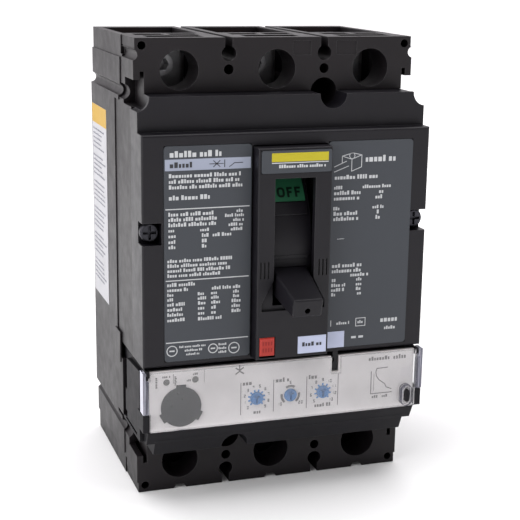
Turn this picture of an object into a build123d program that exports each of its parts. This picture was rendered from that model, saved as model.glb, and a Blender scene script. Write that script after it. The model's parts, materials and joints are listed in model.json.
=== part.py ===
"""Three-pole molded case breaker with an electronic trip unit, as separate pieces.

Millimetres. X runs to the right and Z up; the origin is the centre of the rear
mounting face. Depths are counted from that face towards the front (-Y).
"""

import os
from math import cos, radians, sin

from build123d import *

os.makedirs("parts", exist_ok=True)

# Case envelope
BODY_HALF_W = 52.0
TERMINAL_HALF_W = 51.4
END_HALF_W = 50.9
COVER_INSET = 0.4
HALF_H = 81.5
TERMINAL_Z = 62.5
END_STEP_Z = 73.8
COVER_STEP_Z = 77.8
GRIP_Z = 75.9
CATCH_LOW = 75.0
CATCH_HIGH = 78.2
PART_LINE = 43.5
EAR_DEPTH = 50.0
EAR_IN = 48.6
EAR_Z = 59.0
COVER_FACE = 69.0
TERMINAL_FACE = 69.7
STEP_FACE = 79.6
FRONT_FACE = 85.4
ESCUTCHEON_FACE = 91.0
ESCUTCHEON_BACK = 74.0

# Poles and terminals
POLE_PITCH = 35.0
POLE_X = {"a": -POLE_PITCH, "b": 0.0, "c": POLE_PITCH}
BARRIER_X = POLE_PITCH / 2
ACCESS_Z = 70.6
ACCESS_R = 6.75
KEYHOLE_Z = 76.0
KEYHOLE_R = 2.6
KEYHOLE_SLOT = 2.7
MOUNT_Z = 62.5
MOUNT_R = 3.0
MOUNT_RECESS_R = 4.9
CHANNEL_R = 1.9
COVER_CHANNEL_R = 2.7
NOTCH_DEPTH = 57.0
NOTCH_X = 47.3
NOTCH_LOW = 58.5
NOTCH_HIGH = 67.6
CORNER_X = 52.5
CORNER_R = 4.6
CHAMBER_HALF_W = 13.5
POCKET_HALF_W = 11.0
LUG_Z = 70.6
LUG_HALF_W = 9.5
LUG_SCREW_R = 4.0
WIRE_DEPTH = 21.0
WIRE_R = 6.5
BAR_BACK = 8.0
BAR_T = 3.0
BAR_HALF_W = 8.0

# Handle
PIVOT_DEPTH = 49.0
PIVOT_Z = 9.0
PIVOT_R = 2.0
OFF_ANGLE = -15.0
HANDLE_TIP = 58.4
CRANK_R = 9.5
SHUTTER_IN = 35.8
SHUTTER_OUT = 37.0
SLOT_HALF_W = 7.3
SLOT_BOTTOM = -8.7
SLOT_TOP = 35.8

# Contact rotor
ROTOR_DEPTH = 23.7
ROTOR_Z = 20.0
ROTOR_R = 13.0
ROTOR_OFF_ANGLE = 48.0
SWING = 42.0
OVERTRAVEL = 2.5
BRIDGE_R = 21.0
CONTACT_R = 19.0
ROD_R = 2.0
RUNNING_GAP = 0.05

# Trip unit
UNIT_HALF_W = 50.4
UNIT_EDGE = 52.0
UNIT_BOTTOM = -58.2
UNIT_FLANK_FRONT = 79.0
SHOULDER_TOP = -45.9
SHOULDER_BOTTOM = -52.2
SHOULDER_OUT = 52.5
UNIT_PANEL_BACK = 59.0
CATCH_BACK = 56.6
PANEL_FACE = 85.0
PANEL_TOP = -30.65
PANEL_BOTTOM = -52.5
HINGE_DEPTH = 85.2
HINGE_Z = -31.4
CLEAR_FACE = 87.0
CLEAR_BOTTOM = -52.1
EAR_OUTER = 52.5
EAR_INNER = 51.5
POST_X = 46.3
POST_Z = -47.6
DIALS = {"current_dial": -10.9, "class_dial": 1.8, "instant_dial": 14.2}
DIAL_Z = -43.9
DIAL_R = 2.3
BUTTON_X = -9.25
BUTTON_Z = -23.4
TRIP_BAR_DEPTH = 70.0
TRIP_BAR_Z = -25.0


def front(depth):
    """Plane facing the front at a depth from the mounting face."""
    return Plane.XZ.offset(depth)


def side(x):
    """Upright plane at x whose local X is depth and local Y is height."""
    return Plane(origin=(x, 0, 0), x_dir=(0, -1, 0), z_dir=(-1, 0, 0))


def span(left, right, low, high, mode=Mode.ADD):
    """Rectangle between two edges across and two edges up."""
    with Locations(((left + right) / 2, (low + high) / 2)):
        Rectangle(right - left, high - low, mode=mode)


def spans_of_plan(left, right, near, far, mode=Mode.ADD):
    """Rectangle on a level plane between two widths and two depths."""
    span(left, right, -far, -near, mode)


def outline(*points):
    """Closed straight-sided face through the points."""
    with BuildLine() as edge:
        Polyline(*points, close=True)
    return make_face(edge.edges(), mode=Mode.PRIVATE)


def polar(depth, height, radius, angle):
    """Point at an angle above the forward direction, around a centre."""
    return (depth + radius * cos(radians(angle)), height + radius * sin(radians(angle)))


def ring_sector(depth, height, inner, outer, start, end):
    """Face between two radii and two angles around a centre, in a side plane."""
    with BuildLine() as edge:
        CenterArc((depth, height), outer, start, end - start)
        CenterArc((depth, height), inner, start, end - start)
        Line(polar(depth, height, inner, start), polar(depth, height, outer, start))
        Line(polar(depth, height, inner, end), polar(depth, height, outer, end))
    return make_face(edge.edges(), mode=Mode.PRIVATE)


def save(part, name):
    """Labels the piece and writes it under that name."""
    part.label = name
    export_step(part, f"parts/{name}.step")


# ---------------------------------------------------------------- case shells

# Rear half of the case: three pole chambers, cable chambers open at both ends.
with BuildPart() as base_housing:
    with BuildSketch(front(0)):
        span(-BODY_HALF_W, BODY_HALF_W, -TERMINAL_Z, TERMINAL_Z)
        span(-TERMINAL_HALF_W, TERMINAL_HALF_W, -END_STEP_Z, END_STEP_Z)
        span(-END_HALF_W, END_HALF_W, -HALF_H, HALF_H)
    extrude(amount=PART_LINE)
    # Ears of the flanks reach past the part line beside the terminals.
    with BuildSketch(front(PART_LINE)):
        span(-BODY_HALF_W, -EAR_IN, EAR_Z, TERMINAL_Z)
        span(-TERMINAL_HALF_W, -EAR_IN, EAR_Z, END_STEP_Z)
        span(-END_HALF_W, -EAR_IN, EAR_Z, HALF_H)
        mirror(about=Plane.YZ)
        mirror(about=Plane.XZ)
    extrude(amount=EAR_DEPTH - PART_LINE)
    # The flanks also reach forward beside the trip unit.
    with BuildSketch(front(PART_LINE)):
        span(-BODY_HALF_W, -UNIT_HALF_W - 0.1, -57.8, -36)
        mirror(about=Plane.YZ)
    extrude(amount=UNIT_EDGE - PART_LINE)
    # Raised tabs hold the mid cover and the trip unit together.
    for x, outward in ((-BODY_HALF_W + 0.3, 0.7), (BODY_HALF_W - 0.3, -0.7)):
        with BuildSketch(side(x)):
            span(41, 49.6, -38, -26.5)
        extrude(amount=outward)
    with BuildSketch(front(4)):
        span(-49, -19, -57, 57)
        span(-16, 16, -57, 57)
        span(19, 49, -57, 57)
    extrude(amount=PART_LINE, mode=Mode.SUBTRACT)
    with BuildSketch(front(7)):
        for x in POLE_X.values():
            span(x - CHAMBER_HALF_W, x + CHAMBER_HALF_W, 60, HALF_H + 1)
            span(x - CHAMBER_HALF_W, x + CHAMBER_HALF_W, -HALF_H - 1, -60)
    extrude(amount=PART_LINE, mode=Mode.SUBTRACT)
    # Slots that let the conductors pass between the chambers.
    with BuildSketch(front(7)):
        for x in POLE_X.values():
            span(x - 8.2, x + 8.2, -61, 61)
    extrude(amount=4.3, mode=Mode.SUBTRACT)
    # Bosses of the two mounting holes stand full depth between the poles.
    with BuildSketch(front(0)):
        with Locations((BARRIER_X, MOUNT_Z), (-BARRIER_X, -MOUNT_Z)):
            Circle(5.5)
    extrude(amount=PART_LINE)
    with BuildSketch(front(0)):
        with Locations((BARRIER_X, MOUNT_Z), (-BARRIER_X, -MOUNT_Z)):
            Circle(MOUNT_R)
        # Half-round channels down the four shoulders.
        with GridLocations(2 * BODY_HALF_W, 2 * TERMINAL_Z, 2, 2):
            Circle(CHANNEL_R)
        # Slots for phase barriers.
        with GridLocations(POLE_PITCH, 2 * KEYHOLE_Z, 2, 2):
            Circle(KEYHOLE_R)
        with GridLocations(POLE_PITCH, 2 * (KEYHOLE_Z + 3), 2, 2):
            Rectangle(KEYHOLE_SLOT, 6)
    extrude(amount=EAR_DEPTH, mode=Mode.SUBTRACT)
    # Windows in the pole partitions for the rotor rods.
    with BuildSketch(front(10)):
        span(-19.5, -15.5, 7, 33)
        span(15.5, 19.5, 7, 33)
    extrude(amount=PART_LINE, mode=Mode.SUBTRACT)
save(base_housing.part, "base_housing")

# Front half of the case down to the trip unit, with the line terminal face.
with BuildPart() as mid_cover:
    with BuildSketch(front(PART_LINE)):
        span(COVER_INSET - BODY_HALF_W, BODY_HALF_W - COVER_INSET, -30, TERMINAL_Z)
        span(COVER_INSET - TERMINAL_HALF_W, TERMINAL_HALF_W - COVER_INSET, 0, COVER_STEP_Z)
        span(COVER_INSET - END_HALF_W, END_HALF_W - COVER_INSET, 0, HALF_H)
    extrude(amount=COVER_FACE - PART_LINE)
    with BuildSketch(front(COVER_FACE)):
        span(COVER_INSET - TERMINAL_HALF_W, TERMINAL_HALF_W - COVER_INSET, 62.9, COVER_STEP_Z)
        span(COVER_INSET - END_HALF_W, END_HALF_W - COVER_INSET, 62.9, HALF_H)
    extrude(amount=TERMINAL_FACE - COVER_FACE)
    with BuildSketch(front(PART_LINE)):
        span(-49, -19, -28, 56)
        span(-16, 16, -28, 56)
        span(19, 49, -28, 56)
    extrude(amount=22.5, mode=Mode.SUBTRACT)
    with BuildSketch(front(PART_LINE)):
        for x in POLE_X.values():
            span(x - POCKET_HALF_W, x + POCKET_HALF_W, 59, 78.5)
    extrude(amount=22.5, mode=Mode.SUBTRACT)
    # Sleeves that guide a driver to the lug screws.
    with BuildSketch(front(56)):
        for x in POLE_X.values():
            with Locations((x, ACCESS_Z)):
                Circle(ACCESS_R + 1.5)
    extrude(until=Until.NEXT)
    with BuildSketch(front(55)):
        for x in POLE_X.values():
            with Locations((x, ACCESS_Z)):
                Circle(ACCESS_R)
    extrude(amount=20, mode=Mode.SUBTRACT)
    # Boss, recess and hole of the upper mounting screw.
    with BuildSketch(front(PART_LINE)):
        with Locations((BARRIER_X, MOUNT_Z)):
            Circle(6.4)
    extrude(amount=COVER_FACE - PART_LINE)
    with BuildSketch(front(48)):
        with Locations((BARRIER_X, MOUNT_Z)):
            Circle(MOUNT_RECESS_R)
    extrude(amount=30, mode=Mode.SUBTRACT)
    with BuildSketch(front(PART_LINE)):
        with Locations((BARRIER_X, MOUNT_Z)):
            Circle(MOUNT_R)
        for x in (-BARRIER_X, BARRIER_X):
            with Locations((x, KEYHOLE_Z)):
                Circle(KEYHOLE_R)
            span(x - KEYHOLE_SLOT / 2, x + KEYHOLE_SLOT / 2, KEYHOLE_Z, HALF_H + 1)
    extrude(amount=30, mode=Mode.SUBTRACT)
    # Case screw holes, corner holes and their small keyed slots.
    with BuildSketch(front(54)):
        with Locations((-BARRIER_X, ACCESS_Z), (BARRIER_X, ACCESS_Z)):
            Circle(1.75)
        with Locations((-48, 79), (48, 79)):
            Circle(1.45)
        span(-48.7, -47.3, NOTCH_HIGH - 1, 70.3)
        span(47.3, 48.7, NOTCH_HIGH - 1, 70.3)
    extrude(amount=20, mode=Mode.SUBTRACT)
    # Seats of the housing's ears and the wider end of the half-round channels.
    with BuildSketch(front(PART_LINE)):
        span(-BODY_HALF_W, 0.1 - EAR_IN, EAR_Z - 0.1, HALF_H)
        mirror(about=Plane.YZ)
    extrude(amount=EAR_DEPTH - PART_LINE, mode=Mode.SUBTRACT)
    with BuildSketch(front(EAR_DEPTH)):
        with Locations((-BODY_HALF_W, TERMINAL_Z), (BODY_HALF_W, TERMINAL_Z)):
            Circle(COVER_CHANNEL_R)
    extrude(amount=NOTCH_DEPTH - EAR_DEPTH, mode=Mode.SUBTRACT)
    # Open notches at the upper corners and round grip notches on the flanks.
    with BuildSketch(front(NOTCH_DEPTH)):
        span(-BODY_HALF_W, -NOTCH_X, NOTCH_LOW, NOTCH_HIGH)
        mirror(about=Plane.YZ)
    extrude(amount=20, mode=Mode.SUBTRACT)
    with BuildSketch(front(EAR_DEPTH + 2.4)):
        with Locations((-TERMINAL_HALF_W, GRIP_Z), (TERMINAL_HALF_W, GRIP_Z)):
            Circle(1.9)
    extrude(amount=20, mode=Mode.SUBTRACT)
    # Small catch pockets at the ends of the ears.
    for x, inward in ((-TERMINAL_HALF_W, -1.6), (TERMINAL_HALF_W, 1.6)):
        with BuildSketch(side(x)):
            span(EAR_DEPTH, EAR_DEPTH + 2.4, CATCH_LOW, CATCH_HIGH)
        extrude(amount=inward, mode=Mode.SUBTRACT)
    # Top pockets in front of the cable openings.
    with BuildSketch(Plane.XY.offset(78)):
        for x in POLE_X.values():
            spans_of_plan(x - 11.5, x - 1, 47, 54)
            spans_of_plan(x + 1, x + 11.5, 47, 54)
            spans_of_plan(x - 10, x + 10, 57.5, 65.5)
    extrude(amount=10, mode=Mode.SUBTRACT)
    # Window for the operating mechanism.
    with BuildSketch(front(65)):
        span(-15.5, 15.5, -28, 56)
    extrude(amount=10, mode=Mode.SUBTRACT)
    # Blank pads where the terminals are marked.
    with BuildSketch(front(TERMINAL_FACE - 0.3)):
        span(5.8, 12.4, 75.4, 80.2)
        span(22.0, 29.6, 75.4, 80.2)
    extrude(amount=10, mode=Mode.SUBTRACT)
save(mid_cover.part, "mid_cover")

# Load terminal cover, the mirror of the line side, tucked under the trip unit.
with BuildPart() as lower_terminal_cover:
    with BuildSketch(front(PART_LINE)):
        span(COVER_INSET - TERMINAL_HALF_W, TERMINAL_HALF_W - COVER_INSET, -COVER_STEP_Z, -EAR_Z)
        span(COVER_INSET - END_HALF_W, END_HALF_W - COVER_INSET, -HALF_H, -EAR_Z)
        span(-47, 47, -HALF_H, -58.8)
    extrude(amount=TERMINAL_FACE - PART_LINE)
    with BuildSketch(front(PART_LINE)):
        for x in POLE_X.values():
            span(x - POCKET_HALF_W, x + POCKET_HALF_W, -78.5, -60.8)
    extrude(amount=22.5, mode=Mode.SUBTRACT)
    with BuildSketch(front(56)):
        for x in POLE_X.values():
            with Locations((x, -ACCESS_Z)):
                Circle(ACCESS_R + 1.5)
    extrude(until=Until.NEXT)
    with BuildSketch(front(55)):
        for x in POLE_X.values():
            with Locations((x, -ACCESS_Z)):
                Circle(ACCESS_R)
    extrude(amount=20, mode=Mode.SUBTRACT)
    with BuildSketch(front(PART_LINE)):
        with Locations((-BARRIER_X, -MOUNT_Z)):
            Circle(6.4)
        span(-30, 10, -58.8, -50, mode=Mode.SUBTRACT)
    extrude(amount=TERMINAL_FACE - PART_LINE)
    with BuildSketch(front(48)):
        with Locations((-BARRIER_X, -MOUNT_Z)):
            Circle(MOUNT_RECESS_R)
    extrude(amount=30, mode=Mode.SUBTRACT)
    with BuildSketch(front(PART_LINE)):
        with Locations((-BARRIER_X, -MOUNT_Z)):
            Circle(MOUNT_R)
        for x in (-BARRIER_X, BARRIER_X):
            with Locations((x, -KEYHOLE_Z)):
                Circle(KEYHOLE_R)
            span(x - KEYHOLE_SLOT / 2, x + KEYHOLE_SLOT / 2, -HALF_H - 1, -KEYHOLE_Z)
    extrude(amount=30, mode=Mode.SUBTRACT)
    with BuildSketch(front(54)):
        with Locations((-BARRIER_X, -ACCESS_Z), (BARRIER_X, -ACCESS_Z)):
            Circle(1.75)
        with Locations((-48, -79), (48, -79)):
            Circle(1.45)
        span(-48.7, -47.3, -70.3, 1 - NOTCH_HIGH)
        span(47.3, 48.7, -70.3, 1 - NOTCH_HIGH)
    extrude(amount=20, mode=Mode.SUBTRACT)
    # Ear seats, channel ends, corner notches and catch pockets as on the line side.
    with BuildSketch(front(PART_LINE)):
        span(-BODY_HALF_W, 0.1 - EAR_IN, -HALF_H, 0.1 - EAR_Z)
        mirror(about=Plane.YZ)
    extrude(amount=EAR_DEPTH - PART_LINE, mode=Mode.SUBTRACT)
    with BuildSketch(front(EAR_DEPTH)):
        with Locations((-BODY_HALF_W, -TERMINAL_Z), (BODY_HALF_W, -TERMINAL_Z)):
            Circle(COVER_CHANNEL_R)
    extrude(amount=NOTCH_DEPTH - EAR_DEPTH, mode=Mode.SUBTRACT)
    with BuildSketch(front(NOTCH_DEPTH)):
        span(-BODY_HALF_W, -NOTCH_X, -NOTCH_HIGH, -NOTCH_LOW)
        mirror(about=Plane.YZ)
    extrude(amount=20, mode=Mode.SUBTRACT)
    for x, inward in ((-TERMINAL_HALF_W, -1.6), (TERMINAL_HALF_W, 1.6)):
        with BuildSketch(side(x)):
            span(EAR_DEPTH, EAR_DEPTH + 2.4, -CATCH_HIGH, -CATCH_LOW)
        extrude(amount=inward, mode=Mode.SUBTRACT)
    with BuildSketch(Plane.XY.offset(-78)):
        for x in POLE_X.values():
            spans_of_plan(x - 11.5, x - 1, 47, 54)
            spans_of_plan(x + 1, x + 11.5, 47, 54)
            spans_of_plan(x - 10, x + 10, 57.5, 65.5)
    extrude(amount=-10, mode=Mode.SUBTRACT)
    # Drain notches below each access hole.
    with BuildSketch(front(PART_LINE)):
        for x in POLE_X.values():
            with Locations((x, -HALF_H)):
                Trapezoid(4.6, 1.4, 60, align=(Align.CENTER, Align.MIN))
    extrude(amount=30, mode=Mode.SUBTRACT)
save(lower_terminal_cover.part, "lower_terminal_cover")

# Accessory cover: the stepped front shell around the escutcheon.
with BuildPart() as accessory_cover:
    with BuildSketch(side(0)):
        add(
            outline(
                (COVER_FACE, -29.2),
                (FRONT_FACE, -29.2),
                (FRONT_FACE, 51.0),
                (STEP_FACE, 51.0),
                (STEP_FACE, 62.8),
                (COVER_FACE, 62.8),
            )
        )
    extrude(amount=BODY_HALF_W, both=True)
    fillet(accessory_cover.faces().sort_by(Axis.Y)[0].edges(), 0.8)
    with BuildSketch(side(0)):
        add(
            outline(
                (COVER_FACE, -27.2),
                (FRONT_FACE - 2, -27.2),
                (FRONT_FACE - 2, 49.0),
                (STEP_FACE - 2, 49.0),
                (STEP_FACE - 2, 60.8),
                (COVER_FACE, 60.8),
            )
        )
    extrude(amount=BODY_HALF_W - 2, both=True, mode=Mode.SUBTRACT)
    # Screw bosses with pockets open to the flanks.
    with BuildSketch(front(COVER_FACE)):
        span(-BODY_HALF_W, -43.6, 12.2, 23.2)
        span(43.6, BODY_HALF_W, 12.2, 23.2)
        # Webs that close the shell round the corner notches and the mounting recess.
        span(-BODY_HALF_W, 1.4 - NOTCH_X, NOTCH_LOW - 1.6, 62.8)
        span(NOTCH_X - 1.4, BODY_HALF_W, NOTCH_LOW - 1.6, 62.8)
        with Locations((BARRIER_X, 59.5)):
            Rectangle(12.6, 6.6)
    extrude(amount=STEP_FACE - COVER_FACE)
    with BuildSketch(front(COVER_FACE)):
        span(-BODY_HALF_W, -NOTCH_X, NOTCH_LOW, 62.8)
        mirror(about=Plane.YZ)
    extrude(amount=STEP_FACE - 1.8 - COVER_FACE, mode=Mode.SUBTRACT)
    with BuildSketch(front(STEP_FACE)):
        span(1 - BODY_HALF_W, -43.6, 12.2, 23.2)
        span(43.6, BODY_HALF_W - 1, 12.2, 23.2)
    extrude(amount=FRONT_FACE - STEP_FACE)
    with BuildSketch(front(STEP_FACE)):
        span(-BODY_HALF_W - 1, -45.3, 13.9, 21.5)
        span(45.3, BODY_HALF_W + 1, 13.9, 21.5)
    extrude(amount=10, mode=Mode.SUBTRACT)
    with BuildSketch(front(COVER_FACE)):
        with Locations((-48.6, 17.7), (48.6, 17.7)):
            Circle(1.65)
        # Concave corners and the half-round over the upper mounting recess.
        with Locations((-CORNER_X, TERMINAL_Z), (CORNER_X, TERMINAL_Z)):
            Circle(CORNER_R)
        with Locations((BARRIER_X, MOUNT_Z)):
            Circle(MOUNT_RECESS_R)
        # Escutcheon window.
        span(-13.6, 13.6, -28.1, 46.6)
    extrude(amount=20, mode=Mode.SUBTRACT)
    # Seats of the two rating plates.
    with BuildSketch(front(FRONT_FACE - 0.3)):
        span(-44.6, -13.9, -27.4, 47.3)
        span(13.9, 45.7, -27.6, 47.1)
    extrude(amount=10, mode=Mode.SUBTRACT)
    # Shallow rebate along both flanks where the cover meets the shell behind it.
    for x, inward in ((-BODY_HALF_W, -0.6), (BODY_HALF_W, 0.6)):
        with BuildSketch(side(x)):
            span(COVER_FACE, COVER_FACE + 1.0, -29.2, NOTCH_LOW)
        extrude(amount=inward, mode=Mode.SUBTRACT)
    # Finger hook that reaches over the trip unit panel.
    with BuildSketch(front(83.9)):
        span(17.6, 19.5, -36.0, -28.9)
        with Locations((16.9, -32.0)):
            Circle(1.3, mode=Mode.SUBTRACT)
    extrude(amount=1.4)
save(accessory_cover.part, "accessory_cover")

# Screws that hold the accessory cover.
with BuildPart() as cover_screws:
    with BuildSketch(front(STEP_FACE)):
        with Locations((-48.6, 17.7), (48.6, 17.7)):
            Circle(3.3)
    extrude(amount=2.6)
    fillet(cover_screws.faces().group_by(Axis.Y)[0].edges(), 0.7)
    with BuildSketch(front(COVER_FACE + 2)):
        with Locations((-48.6, 17.7), (48.6, 17.7)):
            Circle(1.6)
    extrude(amount=STEP_FACE - COVER_FACE - 2)
    with BuildSketch(front(STEP_FACE + 1.2)):
        for x in (-48.6, 48.6):
            with Locations((x, 17.7)):
                Rectangle(4.6, 0.9)
                Rectangle(0.9, 4.6)
    extrude(amount=3, mode=Mode.SUBTRACT)
save(cover_screws.part, "cover_screws")

# Escutcheon around the handle, standing proud of the accessory cover.
with BuildPart() as escutcheon:
    with BuildSketch(front(ESCUTCHEON_BACK)):
        span(-13.3, 13.3, -27.8, 46.2)
    extrude(amount=ESCUTCHEON_FACE - ESCUTCHEON_BACK)
    fillet(escutcheon.faces().sort_by(Axis.Y)[0].edges(), 0.6)
    with BuildSketch(front(ESCUTCHEON_BACK)):
        span(-11.3, 11.3, -25.8, 44.2)
    extrude(amount=ESCUTCHEON_FACE - ESCUTCHEON_BACK - 2.5, mode=Mode.SUBTRACT)
    with BuildSketch(front(88)):
        span(-SLOT_HALF_W, SLOT_HALF_W, SLOT_BOTTOM, SLOT_TOP)
    extrude(amount=10, mode=Mode.SUBTRACT)
    # Finger scoop flaring around the lower end of the slot.
    with BuildSketch(front(ESCUTCHEON_FACE - 1.1)):
        add(outline((-7.3, 0.5), (7.3, 0.5), (11.6, -7.6), (11.6, -10.4), (-11.6, -10.4), (-11.6, -7.6)))
    extrude(amount=5, mode=Mode.SUBTRACT)
    # Grip ribs cut beside the slot.
    with BuildSketch(front(ESCUTCHEON_FACE - 0.5)):
        for x in (-12.0, -10.6, -9.2, 9.2, 10.6, 12.0):
            with Locations((x, 4.2)):
                SlotCenterToCenter(5.4, 0.6, rotation=90)
    extrude(amount=5, mode=Mode.SUBTRACT)
    # Opening for the push-to-trip button and seats of the plate and sticker.
    with BuildSketch(front(80)):
        span(BUTTON_X - 2.95, BUTTON_X + 2.95, BUTTON_Z - 3.7, BUTTON_Z + 3.7)
    extrude(amount=20, mode=Mode.SUBTRACT)
    with BuildSketch(front(ESCUTCHEON_FACE - 0.4)):
        span(-12.4, 12.9, 37.6, 45.5)
        span(1.9, 12.6, -26.7, -20.3)
    extrude(amount=5, mode=Mode.SUBTRACT)
save(escutcheon.part, "escutcheon")

# Nameplate strip in the top of the escutcheon.
with BuildPart() as nameplate_strip:
    with BuildSketch(front(ESCUTCHEON_FACE - 0.4)):
        with Locations((0.25, 41.55)):
            RectangleRounded(25.1, 7.7, 0.6)
    extrude(amount=0.7)
save(nameplate_strip.part, "nameplate_strip")

# Two grey rating plates on the accessory cover.
with BuildPart() as left_rating_plate:
    with BuildSketch(front(FRONT_FACE - 0.3)):
        with Locations((-29.25, 9.95)):
            RectangleRounded(30.5, 74.5, 1.2)
    extrude(amount=0.5)
save(left_rating_plate.part, "left_rating_plate")

with BuildPart() as right_rating_plate:
    with BuildSketch(front(FRONT_FACE - 0.3)):
        with Locations((29.8, 9.75)):
            RectangleRounded(31.6, 74.5, 1.2)
    extrude(amount=0.5)
save(right_rating_plate.part, "right_rating_plate")

# Rating sticker in the escutcheon and the small blank sticker beside it.
with BuildPart() as rating_stickers:
    with BuildSketch(front(ESCUTCHEON_FACE - 0.4)):
        span(2.0, 12.5, -26.6, -20.4)
    extrude(amount=0.5)
    with BuildSketch(front(FRONT_FACE + 0.2)):
        span(15.2, 21.6, -27.4, -21.4)
    extrude(amount=0.15)
save(rating_stickers.part, "rating_stickers")

# Long label on the left flank.
with BuildPart() as side_label:
    with BuildSketch(side(-BODY_HALF_W)):
        span(1.6, 28.6, -21.8, 52.7)
    extrude(amount=0.15)
save(side_label.part, "side_label")

# ---------------------------------------------------------------- handle group

HANDLE_OUT = (0, -cos(radians(OFF_ANGLE)), sin(radians(OFF_ANGLE)))


def along_handle(distance):
    """Plane across the handle at a distance from its pivot, local Y upwards."""
    return Plane(
        origin=(0, -PIVOT_DEPTH + HANDLE_OUT[1] * distance, PIVOT_Z + HANDLE_OUT[2] * distance),
        x_dir=(1, 0, 0),
        z_dir=HANDLE_OUT,
    )


# Toggle: a collar just outside the shutter, a tapering grip and an inner root.
with BuildPart() as toggle_handle:
    with BuildSketch(along_handle(SHUTTER_OUT + 0.4)):
        RectangleRounded(13.2, 8.8, 0.8)
    with BuildSketch(along_handle(HANDLE_TIP)):
        RectangleRounded(10.6, 6.6, 0.8)
    loft()
    fillet(toggle_handle.faces().sort_by(Axis.Y)[0].edges(), 0.7)
    with BuildSketch(along_handle(32)):
        Rectangle(10, 6.4)
    extrude(amount=SHUTTER_OUT - 32 + 1.4)
    # Cross hole for a locking pin in the end face, just below its middle.
    with BuildSketch(along_handle(HANDLE_TIP - 6)):
        with Locations((0, -0.9)):
            Circle(1.05)
    extrude(amount=8, mode=Mode.SUBTRACT)
save(toggle_handle.part, "toggle_handle")

# Curved shutter that closes the slot at every handle position.
with BuildPart() as handle_shutter:
    with BuildSketch(side(0)):
        add(ring_sector(PIVOT_DEPTH, PIVOT_Z, SHUTTER_IN, SHUTTER_OUT, OFF_ANGLE - 57, OFF_ANGLE + 66))
    extrude(amount=8.2, both=True)
    with BuildSketch(side(0)):
        add(ring_sector(PIVOT_DEPTH, PIVOT_Z, SHUTTER_OUT - 0.3, SHUTTER_OUT + 0.5, 20, 26.8))
        add(ring_sector(PIVOT_DEPTH, PIVOT_Z, SHUTTER_OUT - 0.3, SHUTTER_OUT + 0.3, -3.4, -1.8))
    extrude(amount=7.0, both=True)
    with BuildSketch(along_handle(SHUTTER_IN - 4)):
        Rectangle(10.2, 6.6)
    extrude(amount=8, mode=Mode.SUBTRACT)
save(handle_shutter.part, "handle_shutter")

# Position flags on the shutter: one shows above the handle, one below it.
with BuildPart() as off_flag:
    with BuildSketch(side(0)):
        add(ring_sector(PIVOT_DEPTH, PIVOT_Z, SHUTTER_OUT, SHUTTER_OUT + 0.25, 27.4, 46))
    extrude(amount=6.9, both=True)
save(off_flag.part, "off_flag")

with BuildPart() as on_flag:
    with BuildSketch(side(0)):
        add(ring_sector(PIVOT_DEPTH, PIVOT_Z, SHUTTER_OUT, SHUTTER_OUT + 0.25, -71.5, -55))
    extrude(amount=6.9, both=True)
save(on_flag.part, "on_flag")

# Steel yoke: two legs from the pivot to a bridge behind the shutter.
with BuildPart() as handle_yoke:
    with BuildSketch(along_handle(-4)):
        with Locations((-9.2, 0), (9.2, 0)):
            Rectangle(1.4, 8)
    extrude(amount=36)
    with BuildSketch(along_handle(29)):
        Rectangle(19.8, 8)
    extrude(amount=3)
    # Ears that carry the drive pin.
    with BuildSketch(side(0)):
        with Locations((PIVOT_DEPTH + CRANK_R, PIVOT_Z)):
            Circle(4.0)
    extrude(amount=9.9, both=True)
    with BuildSketch(side(0)):
        with Locations((PIVOT_DEPTH + CRANK_R, PIVOT_Z)):
            Circle(4.5)
    extrude(amount=8.5, both=True, mode=Mode.SUBTRACT)
    with BuildSketch(side(0)):
        with Locations((PIVOT_DEPTH, PIVOT_Z)):
            Circle(PIVOT_R + RUNNING_GAP)
        with Locations((PIVOT_DEPTH + CRANK_R, PIVOT_Z)):
            Circle(1.52)
    extrude(amount=12, both=True, mode=Mode.SUBTRACT)
save(handle_yoke.part, "handle_yoke")

# Drive pin across the yoke, reaching the links on both sides.
with BuildPart() as drive_pin:
    with BuildSketch(side(0)):
        with Locations((PIVOT_DEPTH + CRANK_R, PIVOT_Z)):
            Circle(1.5)
    extrude(amount=15.4, both=True)
save(drive_pin.part, "drive_pin")

# Fixed pin the handle turns on.
with BuildPart() as handle_pivot_pin:
    with BuildSketch(side(0)):
        with Locations((PIVOT_DEPTH, PIVOT_Z)):
            Circle(PIVOT_R)
    extrude(amount=13.2, both=True)
save(handle_pivot_pin.part, "handle_pivot_pin")

# Steel side plates of the mechanism, slotted for the drive pin.
PLATE_MID_X = 12.0
with BuildPart() as mechanism_side_plates:
    with BuildSketch(side(0)):
        add(outline((44, -10), (60, -16), (68, -16), (68, 30), (60, 38), (44, 38)))
        with Locations((PIVOT_DEPTH, PIVOT_Z)):
            Circle(PIVOT_R, mode=Mode.SUBTRACT)
        add(
            ring_sector(
                PIVOT_DEPTH, PIVOT_Z, CRANK_R - 2.1, CRANK_R + 2.1, -2 * OVERTRAVEL - 12, SWING + 15
            ),
            mode=Mode.SUBTRACT,
        )
        with Locations((50, 33), (63, -11)):
            Circle(1.6, mode=Mode.SUBTRACT)
    extrude(amount=PLATE_MID_X + 0.8, both=True)
    with BuildSketch(side(0)):
        span(40, 72, -20, 42)
    extrude(amount=PLATE_MID_X - 0.8, both=True, mode=Mode.SUBTRACT)
save(mechanism_side_plates.part, "mechanism_side_plates")

# Spacer posts riveted between the side plates.
with BuildPart() as mechanism_spacers:
    with BuildSketch(side(0)):
        with Locations((50, 33), (63, -11)):
            Circle(1.6)
    extrude(amount=13.2, both=True)
save(mechanism_spacers.part, "mechanism_spacers")

# ---------------------------------------------------------------- contact group

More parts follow.
